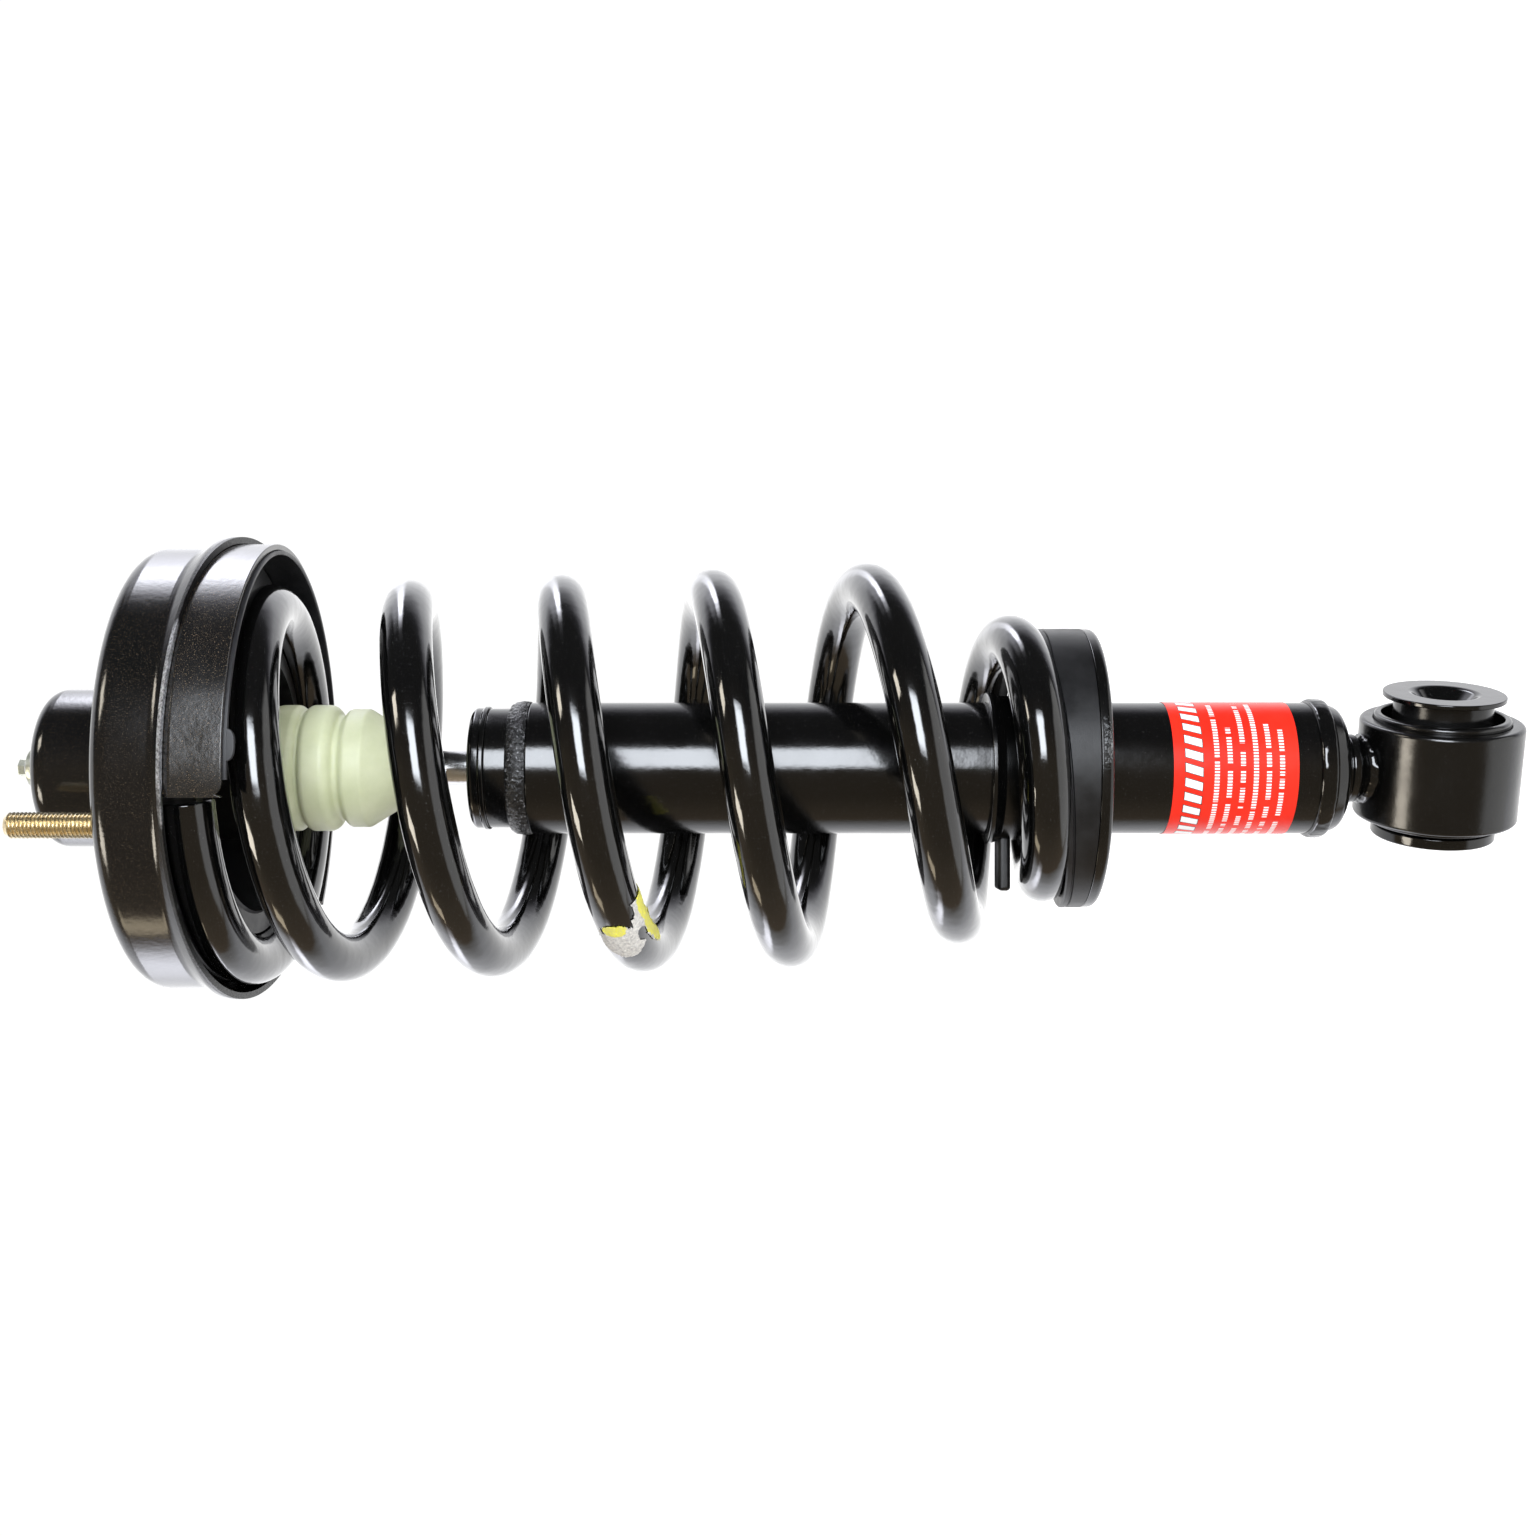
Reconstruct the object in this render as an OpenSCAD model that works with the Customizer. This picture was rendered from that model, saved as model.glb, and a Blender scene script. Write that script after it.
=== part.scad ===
// Coil-over strut assembly: a spring on a twin-tube gas damper, with a two-stud upper
// mount and a rubber-bushed lower eye. Millimetres. +Z runs along the damper axis
// toward the vehicle body, and the origin lies on the body side of the upper mount,
// at the centre of the two studs. The lower eye's bore runs along Y.

/* [Upper mount] */
// Outer radius of the stamped pan's wall
pan_r = 88.5; // [84:0.1:95]
// Sheet thickness of the pan
pan_t = 2.6; // [1.5:0.1:3.5]
// Outside corner radius of the pan
pan_corner_r = 4.9; // [3.6:0.1:8]
// Depth at which the pan's mouth starts to flare
flare_start = 24.5; // [16:0.1:26]
// Depth at which the flare reaches its full radius
flare_end = 31; // [27:0.1:33]
// Widening of the pan at its flared lip
lip_flare = 4.4; // [3.4:0.1:8]
// Depth of the trimmed lip on the damper axis
lip_depth = 37.4; // [35:0.1:42]
// Tilt of the lip's trimmed edge
lip_tilt = 4.4; // [0:0.1:6]
// Direction, about the damper axis, in which the lip is shortest
lip_short_angle = 15; // [-180:1:180]
// Thread diameter of the two body studs
stud_d = 10; // [8:0.5:12]
// Diameter of the circle through the two studs
stud_pcd = 120; // [100:0.5:130]
// Direction of the first stud about the damper axis
stud_angle = -6; // [-30:1:30]
// Length of each stud above the mounting face
stud_len = 40; // [25:0.5:50]
// Diameter of each stud's splined shoulder in the pan
stud_shoulder_d = 10.8; // [10.4:0.1:12]
// Head diameter of each pressed-in stud
stud_head_d = 16; // [14:0.5:18]
// Head thickness of each pressed-in stud
stud_head_t = 3; // [2:0.1:3.2]

/* [Rod mount] */
// Outer radius of the welded can
can_r = 31.8; // [30:0.1:36]
// Height of the can above the mounting face
can_h = 43.1; // [38:0.1:48]
// Wall thickness of the can
can_t = 2.5; // [1.5:0.1:3]
// Outside corner radius of the can
can_corner_r = 9; // [6:0.1:11]
// Radius of the large washer under the rod nut
top_washer_r = 15.5; // [13:0.1:18]
// Thickness of the washer under the rod nut
top_washer_t = 2.5; // [1.5:0.1:3]
// Radius of the washer on the rod's shoulder
low_washer_r = 16; // [13:0.1:16.5]
// Thickness of the washer on the rod's shoulder
low_washer_t = 3; // [2:0.1:4]
// Height of the rod's shoulder above the mounting face
shoulder_z = 5; // [3:0.1:8]
// Outer radius of the steel sleeve inside the rubber
core_sleeve_r = 8.2; // [7.5:0.1:10]
// Width across flats of the rod nut
nut_af = 16; // [14:0.5:18]
// Height of the rod nut
nut_h = 9; // [6:0.1:10]

/* [Piston rod] */
// Diameter of the piston rod
rod_d = 14; // [12:0.1:15]
// Diameter of the rod's threaded top stem
stem_d = 10; // [8:0.1:11]
// Height of the rod's tip above the mounting face
rod_tip_z = 56.7; // [54.5:0.1:62]
// Width across flats of the drive hexagon on the rod's tip
tip_af = 6.4; // [5:0.1:7]
// Length of the drive hexagon
tip_len = 3.2; // [2:0.1:3.5]
// Depth of the piston's upper face below the mounting face
piston_depth = 208; // [190:0.5:230]
// Height of the piston
piston_h = 18; // [14:0.5:24]
// Diameter of the rod's piston stem
piston_stem_d = 11; // [9:0.1:11.5]
// Thickness of the rebound valve's shim stack
shim_t = 1.6; // [1:0.1:3]
// Radius of the rebound valve's shim stack
shim_r = 10.5; // [9:0.1:11.5]
// Lift of the piston's check plate
check_lift = 1.2; // [0.6:0.1:1.6]
// Width across flats of the piston nut
piston_nut_af = 17; // [15:0.5:19]
// Height of the piston nut
piston_nut_h = 8; // [6:0.5:10]
// Height of the rebound stop ring
stop_h = 6; // [4:0.5:8]
// Height of the rebound bumper
rebound_bumper_h = 11; // [8:0.5:14]

/* [Bump stop] */
// Depth of the bump stop's lower end below the mounting face
bump_end = 98.6; // [95:0.1:104]
// Outer radius of the bump stop's largest lobes
bump_r = 25.3; // [23:0.1:26.5]
// Outer radius of the valley between the upper lobes
bump_valley_r = 22.1; // [20:0.1:23.5]
// Outer radius of the bump stop's lower lobe
bump_low_r = 23.7; // [22:0.1:25]
// Outer radius of the valley above the lower lobe
bump_low_valley_r = 20.1; // [18:0.1:21]
// Radius of the bump stop's lower end
bump_end_r = 15.6; // [13:0.1:18]
// Radius of the bump stop's upper part, inside its cup
bump_top_r = 25.2; // [23:0.1:26]
// Height of the lower lobe above the bump stop's lower end
bump_low_lobe = 17.4; // [14:0.1:18]
// Height of the middle lobe above the bump stop's lower end
bump_mid_lobe = 32; // [29:0.1:33]
// Height of the upper lobe above the bump stop's lower end
bump_high_lobe = 45.4; // [43:0.1:46]
// Rounding radius of the upper two lobes
bump_lobe_r = 5.6; // [4:0.1:6]
// Radius of the bump stop's bore
bump_bore_r = 7.3; // [7.2:0.1:8]
// Outer radius of the cup that holds the bump stop
cup_r = 29; // [28.5:0.1:32]
// Wall thickness of the cup
cup_t = 1.6; // [1:0.1:2]
// Depth of the cup's mouth below the mounting face
cup_depth = 36; // [28:0.5:38]
// Outer radius of the cup's flange
cup_flange_r = 36; // [34:0.5:40]

/* [Coil spring] */
// Diameter of the spring wire
wire_d = 20; // [17:0.1:20.5]
// Distance of the open coils' mean line inside the pan's wall
coil_inset = 17.9; // [17.6:0.1:21]
// Distance of the lowest coil from the seat collar
coil_collar_gap = 8.5; // [8:0.1:9.5]
// Number of turns of the spring
coil_turns = 6.5; // [6.4:0.05:6.6]
// Turn at which the coils start to draw in
draw_in_start = 4.87; // [4.7:0.01:5]
// Turn at which the coils have drawn in
draw_in_end = 5.8; // [5.7:0.01:5.9]
// Depth of the wire's upper end below the mounting face
coil_top = 33; // [32:0.1:34]
// Direction of the wire's upper end about the damper axis
coil_start_angle = 10.8; // [-10:0.1:20]
// Pitch of the open coils
coil_pitch = 61; // [60:0.1:62]
// Sideways place along X of the spring's axis at its upper end
coil_top_x = 0.36; // [-1:0.01:1]
// Sideways place along Y of the spring's axis at its upper end
coil_top_y = -7.15; // [-7.3:0.01:-6]
// Sideways place along X of the spring's axis at its lower end
coil_low_x = 3.82; // [2:0.01:4.5]
// Sideways place along Y of the spring's axis at its lower end
coil_low_y = 5.06; // [3:0.01:5.5]

/* [Upper spring seat] */
// Sheet thickness of the skirt
skirt_t = 2.4; // [1.5:0.1:2.5]
// Depth of the skirt's rim below the mounting face
skirt_rim = 50.3; // [47:0.1:54]
// Direction of the skirt's first end about the damper axis
skirt_from = 8.2; // [0:0.1:20]
// Direction of the skirt's other end about the damper axis
skirt_to = 237; // [200:1:238]
// Corner radius of the skirt's first end
skirt_corner_r = 6; // [3:0.1:8]
// Thickness of the rubber lining inside the skirt
lining_t = 1.7; // [1:0.1:1.8]

/* [Damper body] */
// Outer radius of the damper's reserve tube
reserve_r = 24.1; // [23.6:0.1:24.2]
// Wall thickness of the reserve tube
reserve_t = 2.6; // [2:0.1:3]
// Outer radius of the outer sleeve tube
sleeve_r = 26.5; // [26.3:0.1:27]
// Depth of the top cap's face below the mounting face
cap_top = 127.3; // [122:0.1:130]
// Height of the top cap's skirt
cap_skirt = 6.7; // [5:0.1:8]
// Outer radius of the top cap
cap_r = 24.3; // [24.2:0.1:25]
// Outer radius of the top cap's rolled lip
cap_lip_r = 24.9; // [24.6:0.1:25.5]
// Depth of the sleeve tube's upper end
sleeve_top = 150.6; // [148:0.1:153]
// Depth of both tubes' lower ends
tube_end = 466; // [460:0.5:468]
// Length of the upper weld bead
upper_weld_len = 8.2; // [5:0.1:9]
// Outer radius of the lower weld bead
lower_weld_r = 28.1; // [27.4:0.1:29]
// Length of the lower weld bead
lower_weld_len = 6.6; // [4:0.1:8]
// Bore radius of the pressure tube
cylinder_r = 15; // [14.6:0.1:15.5]
// Wall thickness of the pressure tube
cylinder_t = 1.5; // [1:0.1:2]
// Height of the rod guide
guide_h = 22; // [18:0.5:26]
// Wall thickness of the guide bush
bush_t = 1.5; // [1:0.1:2]
// Outer radius of the rod seal
seal_r = 14; // [12:0.1:18]
// Height of the base valve body
base_valve_h = 20; // [16:0.5:24]
// Depth of the base cap's dome below the tubes' ends
dome_h = 13; // [12:0.1:16]

/* [Lower spring seat] */
// Depth of the seat collar's top edge
collar_top = 333.8; // [330:0.1:335]
// Outer radius of the seat collar
collar_r = 29.2; // [28.6:0.1:29.2]
// Outer radius of the collar's flared edge
collar_lip_r = 30.6; // [29.8:0.1:30.9]
// Depth of the dish's floor
dish_floor = 374; // [374:0.1:378]
// Outer radius of the dish
dish_r = 56.1; // [55:0.1:58]
// Sheet thickness of the dish
dish_t = 2.6; // [2:0.1:3]
// Height of the dish's rim above its floor
dish_rim_h = 2.5; // [2:0.1:3]
// Outer radius of the lower rubber isolator
lower_iso_r = 56.3; // [55:0.1:57]
// Reach of the stop tab from the damper axis
tab_reach = 49.4; // [45:0.1:51]
// Width of the stop tab
tab_w = 14; // [10:0.5:18]
// Depth of the stop tab's upper face
tab_top = 338.4; // [337:0.1:338.8]
// Thickness of the stop tab
tab_t = 5; // [4:0.1:5.2]
// Direction of the stop tab about the damper axis
tab_angle = -75; // [-90:1:-60]

/* [Lower eye] */
// Outer radius of the eye ring
eye_r = 31.9; // [31:0.1:33]
// Length of the eye ring
eye_len = 40; // [36:0.5:44]
// Wall thickness of the eye ring
eye_wall = 5.4; // [4.5:0.1:7]
// Wall thickness of the bushing's outer shell
shell_t = 2.8; // [1.5:0.1:3]
// Height that the shell's rounded lips stand out of the eye ring
shell_lip = 2.3; // [0.5:0.1:3]
// Bore radius of the bushing's inner sleeve
bolt_bore_r = 7.1; // [6.1:0.1:8.1]
// Outer radius of the bushing's inner sleeve
inner_sleeve_r = 12; // [11:0.1:13]
// Radius of the rubber necks under the flanges
neck_rubber_r = 19.3; // [17:0.1:20]
// Depth of the rubber's end recess in the eye
rubber_recess = 6; // [3:0.1:8]
// Distance from the eye's centre to the upper flange's face
sleeve_up = 31.2; // [29:0.1:33]
// Distance from the eye's centre to the lower washer's face
sleeve_down = 27.8; // [27:0.1:33]
// Radius of the inner sleeve's flange
flange_r = 23.8; // [21:0.1:25]
// Thickness of the inner sleeve's flange
flange_t = 2; // [1.5:0.1:3]
// Thickness of the end washer
end_washer_t = 4.5; // [1.5:0.1:4.5]
// Radius of the end washer
end_washer_r = 24.2; // [21:0.1:25]
// Radius of the neck disc between the base cap and the eye
neck_disc_r = 13.8; // [12:0.1:16]
// Thickness of the neck disc
neck_disc_t = 4; // [3:0.1:4.5]
// Length of the bare stem between the neck disc and the eye ring
neck_stem_len = 2.3; // [1.6:0.1:6]
// Radius of the neck's stem
neck_stem_r = 10.3; // [8:0.1:11]

/* [Label] */
// Depth of the label's upper edge
label_top = 404.8; // [395:0.1:415]
// Length of the label along the tube
label_len = 49; // [40:0.1:60]
// Thickness of the label's film
label_t = 0.1; // [0.05:0.01:0.2]
// Angle that the label wraps
label_wrap = 250; // [120:5:300]

/* [Fits] */
// Radial clearance of the sliding and turning fits
running_gap = 0.05; // [0.02:0.01:0.1]
// Clearance between pieces that are assembled loose
loose_gap = 0.1; // [0.05:0.01:0.2]
// Clearance between a soft piece and its neighbour
soft_gap = 0.3; // [0.2:0.05:0.4]

/* [Hidden] */
$fn = 96;

rod_r = rod_d / 2;
stem_r = stem_d / 2;
stud_r = stud_d / 2;
wire_r = wire_d / 2;
reserve_in = reserve_r - reserve_t;
sleeve_in = reserve_r + loose_gap;
lip_r = pan_r + lip_flare;
lip_in = lip_r - pan_t;
skirt_r = lip_in - soft_gap;
// The skirt's foot stops where its inside would reach the isolator.
skirt_foot = flare_start + (skirt_t + soft_gap) / lip_flare * (flare_end - flare_start);
upper_iso_r = pan_r - pan_t - soft_gap;
upper_iso_top = pan_t + soft_gap;
stud_head_low = pan_t + stud_head_t;
nut_z = can_h;
eye_depth = tube_end + dome_h + neck_disc_t + neck_stem_len + eye_r;
eye_z = -eye_depth;
eye_bore_r = eye_r - eye_wall;
coil_r = pan_r - coil_inset;
coil_end_r = collar_r + wire_r + coil_collar_gap;
pan_hole_r = can_r + running_gap;

// Inside the damper: depths that follow from each other.
cap_face_t = 2.5;
cap_edge_z = -cap_top - cap_skirt;
guide_top = cap_edge_z - 3.5;
guide_shelf = guide_top - guide_h / 2;
guide_low = guide_top - guide_h;
cylinder_top = guide_shelf - loose_gap;
dome_top = -tube_end + 5;
cylinder_low = dome_top - 0 + 9;
valve_top = cylinder_low + base_valve_h / 2;
piston_top = -piston_depth;
piston_low = piston_top - piston_h;
check_t = 1.2;
check_seat_z = piston_top;
stop_z = guide_low - soft_gap - rebound_bumper_h - loose_gap;
valve_stem_r = piston_stem_d / 2;
check_ring_r = 12.5;
base_plate_r = 12.5;
base_stem_r = 3.5;

black_paint = [0.05, 0.05, 0.05];
zinc = [0.80, 0.70, 0.40];
silver = [0.75, 0.76, 0.78];
steel = [0.55, 0.56, 0.58];
rubber = [0.10, 0.10, 0.11];
ivory = [0.88, 0.89, 0.76];
label_red = [0.96, 0.22, 0.12];

// Points on an arc about c, from angle a to angle b.
function arc(c, r, a, b, n = 5) =
    [for (i = [0:n]) c + r * [cos(a + (b - a) * i / n), sin(a + (b - a) * i / n)]];

// A solid of revolution about the damper axis.
module turned(points) {
    rotate_extrude()
        polygon(points);
}

// A tube or ring between two heights.
module ring(r_out, r_in, z_low, z_high) {
    turned([[r_in, z_low], [r_out, z_low], [r_out, z_high], [r_in, z_high]]);
}

// A sector of a ring, from one direction to another.
module ring_sector(r_out, r_in, z_low, z_high, from, to) {
    rotate([0, 0, from])
        rotate_extrude(angle = to - from)
            polygon([[r_in, z_low], [r_out, z_low], [r_out, z_high], [r_in, z_high]]);
}

// Puts a shape made about Z on the eye's bore axis, with its +Z on +Y.
module on_eye() {
    translate([0, 0, eye_z])
        rotate([-90, 0, 0])
            children();
}

// A hexagonal nut with a chamfered upper edge.
module hex_nut(af, h, bore_r) {
    corner_r = af / sqrt(3);
    difference() {
        intersection() {
            cylinder(r = corner_r, h = h, $fn = 6);
            turned([[0, 0], [corner_r, 0], [corner_r, h * 0.75], [af * 0.42, h], [0, h]]);
        }
        translate([0, 0, -1])
            cylinder(r = bore_r, h = h + 2);
    }
}

// ---- Path of the spring wire ----

rings_per_turn = 24;
wire_sides = 6;
ring_count = round(coil_turns * rings_per_turn);
first_end_pitch = 16.5;
closed_pitch = 15;
// Pitch of the wire, in millimetres per turn, against the turn counted from the top.
pitch_table = [[0, first_end_pitch], [0.315, closed_pitch], [1.215, coil_pitch],
    [3.615, coil_pitch - 0.5], [4.265, coil_pitch - 7], [4.765, coil_pitch + 18.5],
    [5.265, coil_pitch - 4], [5.515, 42], [5.765, 38], [6.015, 14], [6.265, 10.5], [7, 10.5]];
tilt_depth_top = 34;
tilt_depth_low = 352;

function turn_at(i) = i / rings_per_turn;
// Drop of the wire between two neighbouring rings.
function ring_drop(i) =
    (lookup(turn_at(i), pitch_table) + lookup(turn_at(i + 1), pitch_table))
    / 2 / rings_per_turn;
wire_z = [for (i = 0, z = -coil_top; i <= ring_count; z = z - ring_drop(i), i = i + 1) z];

function blend(x) = x <= 0 ? 0 : x >= 1 ? 1 : x * x * (3 - 2 * x);
function wire_radius(t) = coil_r
    + (coil_end_r - coil_r) * blend((t - draw_in_start) / (draw_in_end - draw_in_start));
axis_slope = [coil_low_x - coil_top_x, coil_low_y - coil_top_y]
    / (tilt_depth_top - tilt_depth_low);
function axis_at(z) = [coil_top_x, coil_top_y] + axis_slope * (z + tilt_depth_top);

// Centre of the wire at ring i: a helix whose axis leans, with its turns square to it.
function wire_point(i) =
    let (t = turn_at(i), z = wire_z[i], a = coil_start_angle - 360 * t,
        off = wire_radius(t) * [cos(a), sin(a)], c = axis_at(z))
    [c.x + off.x, c.y + off.y, z - axis_slope * off];

wire_path = [for (i = [0:ring_count]) wire_point(i)];
wire_last = len(wire_path) - 1;

function unit(v) = v / norm(v);
function path_way(i) = unit(wire_path[min(i + 1, wire_last)] - wire_path[max(i - 1, 0)]);
function ring_points(i) =
    let (way = path_way(i), side = unit(cross([0, 0, 1], way)), up = cross(way, side))
    [for (k = [0:wire_sides - 1]) let (a = 360 * k / wire_sides)
        wire_path[i] + wire_r * (cos(a) * side + sin(a) * up)];

// Least distance between wire surfaces more than half a turn apart.
wire_gap = min([for (i = [0:wire_last], j = [i + rings_per_turn / 2:wire_last])
    norm(wire_path[i] - wire_path[j])]) - wire_d;
echo(least_gap_between_the_spring_turns = wire_gap);

module coil_spring() {
    n = wire_sides;
    skin = [for (i = [0:wire_last]) each ring_points(i)];
    sides = [for (i = [0:wire_last - 1], k = [0:n - 1])
        let (a = i * n + k, b = i * n + (k + 1) % n) each [[a, b, b + n], [a, b + n, a + n]]];
    first_cap = [for (k = [1:n - 2]) [0, k + 1, k]];
    last_cap = [for (k = [1:n - 2]) wire_last * n * [1, 1, 1] + [0, k, k + 1]];
    color(black_paint)
        polyhedron(skin, concat(sides, first_cap, last_cap));
}

// ---- Rubber isolators, each with a channel along the wire it carries ----

channel_r = wire_r + 2 * soft_gap;
channel_steps = 8;
function polar(p) = [norm([p.x, p.y]), p.z];
function station_angle(p) = atan2(p.y, p.x);

// Room past the wire's cut end, in degrees.
end_room = 3;

// One section of an isolator as [radius, height] points, turned to the wire's direction.
function placed(section, angle) =
    [for (q = section) [q[0] * cos(angle), q[0] * sin(angle), q[1]]];

// Upper isolator's section over a wire centre w = [radius, height].
function upper_section(w) =
    let (out = acos(min(1, (upper_iso_r - w[0] - 0.5) / channel_r)),
        inner = w[0] - channel_r - upper_iso_inner_w)
    concat([[inner, -stud_head_low - soft_gap], [inner, w[1]]],
        arc(w, channel_r, 180, out, channel_steps),
        [[upper_iso_r, w[1] + channel_r * sin(out)], [upper_iso_r, -upper_iso_top - 3],
            [upper_iso_r - 3, -upper_iso_top], [head_room_r + 1, -upper_iso_top],
            [head_room_r, -stud_head_low - soft_gap]]);
upper_iso_inner_w = 9;
head_room_r = stud_pcd / 2 + stud_head_d / 2 + 2 * soft_gap;

// Lower isolator's section under a wire centre w = [radius, height].
function lower_section(w) =
    let (out = -acos(min(1, (lower_iso_r - w[0] - 0.5) / channel_r)))
    concat([[lower_iso_in, -dish_floor + soft_gap], [lower_iso_in, w[1]]],
        arc(w, channel_r, -180, out, channel_steps),
        [[lower_iso_r, w[1] + channel_r * sin(out)], [lower_iso_r, iso_step_z],
            [dish_r - dish_t - soft_gap, iso_step_z],
            [dish_r - dish_t - soft_gap, -dish_floor + soft_gap]]);
lower_iso_in = collar_r + 2 * soft_gap;
iso_step_z = -dish_floor + dish_rim_h + soft_gap;

// A closed ring of sections. Faces are triangles, and turn says which way it is wound.
module section_ring(sections, turn) {
    m = len(sections[0]);
    count = len(sections);
    points = [for (s = sections) each s];
    faces = [for (i = [0:count - 1], k = [0:m - 1])
        let (a = i * m + k, b = i * m + (k + 1) % m,
            c = ((i + 1) % count) * m + k, d = ((i + 1) % count) * m + (k + 1) % m)
        each (turn ? [[a, b, d], [a, d, c]] : [[a, d, b], [a, c, d]])];
    polyhedron(points, faces);
}

// Wire centre that a section follows, no further along the wire than the limit allows.
function seat_point(i, limit_i) =
    let (p = polar(wire_path[i]), q = polar(wire_path[limit_i]))
    [p[0], i > limit_i ? max(p[1], q[1]) : p[1]];
function low_seat_point(i, limit_i) =
    let (p = polar(wire_path[i]), q = polar(wire_path[limit_i]))
    [p[0], i < limit_i ? min(p[1], q[1]) : p[1]];

upper_contact_turn = 0.5;
lower_contact_turn = 5.85;

module upper_isolator() {
    limit = round(upper_contact_turn * rings_per_turn);
    sections = [for (i = [0:rings_per_turn - 1])
        placed(upper_section(seat_point(i, limit)), station_angle(wire_path[i]))];
    past_end = placed(upper_section(seat_point(0, limit)),
        station_angle(wire_path[0]) + end_room);
    color(rubber)
        section_ring(concat([past_end], sections), true);
}

module lower_isolator() {
    limit = round(lower_contact_turn * rings_per_turn);
    start = wire_last - rings_per_turn + 1;
    sections = [for (i = [start:wire_last])
        placed(lower_section(low_seat_point(i, limit)), station_angle(wire_path[i]))];
    past_end = placed(lower_section(low_seat_point(wire_last, limit)),
        station_angle(wire_path[wire_last]) - end_room);
    color(rubber)
        section_ring(concat(sections, [past_end]), false);
}

// ---- Upper mount ----

// Everything below the lip's tilted trim plane.
module below_lip() {
    rotate([0, 0, lip_short_angle])
        translate([0, 0, -lip_depth])
            rotate([0, -lip_tilt, 0])
                translate([-150, -150, -100])
                    cube([300, 300, 100]);
}

module at_studs() {
    for (k = [0, 1])
        rotate([0, 0, stud_angle + 180 * k])
            translate([stud_pcd / 2, 0, 0])
                children();
}

module mount_pan() {
    corner = [pan_r - pan_corner_r, -pan_corner_r];
    deepest = lip_depth + 12;
    color(black_paint)
        difference() {
            turned(concat([[pan_hole_r, 0]], arc(corner, pan_corner_r, 90, 0),
                [[pan_r, -flare_start], [lip_r, -flare_end], [lip_r, -deepest],
                    [lip_in, -deepest], [lip_in, -flare_end], [pan_r - pan_t, -flare_start]],
                arc(corner, pan_corner_r - pan_t, 0, 90), [[pan_hole_r, -pan_t]]));
            below_lip();
            at_studs()
                translate([0, 0, -pan_t - 1])
                    cylinder(r = stud_shoulder_d / 2 + loose_gap, h = pan_t + 2);
        }
}

module mount_studs() {
    color(zinc)
        at_studs() {
            translate([0, 0, -pan_t - stud_head_t])
                cylinder(r = stud_head_d / 2, h = stud_head_t);
            translate([0, 0, -pan_t - 1])
                cylinder(r = stud_shoulder_d / 2, h = pan_t + 1);
            translate([0, 0, -1])
                cylinder(r = stud_r, h = stud_len - 0.5);
            translate([0, 0, stud_len - 1.5])
                cylinder(r1 = stud_r, r2 = stud_r - 1.3, h = 1.5);
        }
}

module mount_can() {
    corner = [can_r - can_corner_r, can_h - can_corner_r];
    rim_r = top_washer_r + loose_gap * 5;
    color(black_paint)
        turned(concat([[can_r - can_t, -pan_t], [can_r, -pan_t]],
            arc(corner, can_corner_r, 0, 90, 8),
            [[rim_r, can_h], [rim_r, can_h - can_t]],
            arc(corner, can_corner_r - can_t, 90, 0, 8)));
}

module mount_rubber() {
    r = can_r - can_t - soft_gap;
    low = shoulder_z + low_washer_t + soft_gap;
    high = can_h - top_washer_t - soft_gap;
    color(rubber)
        turned([[core_sleeve_r + loose_gap, low], [r, low], [r, high - can_corner_r],
            [r - can_corner_r + can_t, high], [core_sleeve_r + loose_gap, high]]);
}

module mount_sleeve() {
    color(steel)
        ring(core_sleeve_r, stem_r + loose_gap, shoulder_z + low_washer_t, can_h - top_washer_t);
}

module upper_washer() {
    color(black_paint)
        ring(top_washer_r, stem_r + loose_gap, can_h - top_washer_t, can_h);
}

module lower_washer() {
    color(steel)
        ring(low_washer_r, stem_r + loose_gap, shoulder_z, shoulder_z + low_washer_t);
}

module rod_nut() {
    color(silver)
        translate([0, 0, nut_z])
            hex_nut(nut_af, nut_h, stem_r + loose_gap);
}

module spring_skirt() {
    r_in = skirt_r - skirt_t;
    foot_r = upper_iso_r + soft_gap;
    color(black_paint)
        difference() {
            rotate([0, 0, skirt_from])
                rotate_extrude(angle = skirt_to - skirt_from)
                    polygon([[r_in, -skirt_rim], [skirt_r, -skirt_rim], [skirt_r, -flare_end],
                        [foot_r + skirt_t, -skirt_foot], [foot_r, -skirt_foot],
                        [r_in, -flare_end]]);
            // rounded corner where the rim meets the first end
            rotate([0, 0, skirt_from])
                translate([r_in - 1, 0, -skirt_rim])
                    rotate([0, 90, 0])
                        linear_extrude(height = skirt_t + 2)
                            difference() {
                                translate([-skirt_corner_r, -1])
                                    square([skirt_corner_r + 1, skirt_corner_r + 1]);
                                translate([-skirt_corner_r, skirt_corner_r])
                                    circle(r = skirt_corner_r);
                            }
        }
}

module skirt_lining() {
    r_out = skirt_r - skirt_t - loose_gap;
    color(rubber) {
        ring_sector(r_out, r_out - lining_t, -skirt_rim + 1, -flare_end - 1, skirt_from + 4, 206);
        // locating tab that stands out past the rim
        ring_sector(r_out - 0.1, r_out - lining_t + 0.1, -skirt_rim - 4, -skirt_rim + 3, 16.5, 24.5);
    }
}

module bump_stop_cup() {
    foot = -pan_t - loose_gap;
    in_r = cup_r - cup_t;
    floor_z = foot - cup_t;
    color(black_paint)
        turned([[rod_r + 2, foot], [cup_flange_r, foot], [cup_flange_r, floor_z], [cup_r, floor_z],
            [cup_r, -cup_depth], [in_r, -cup_depth], [in_r, floor_z], [rod_r + 2, floor_z]]);
}

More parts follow.
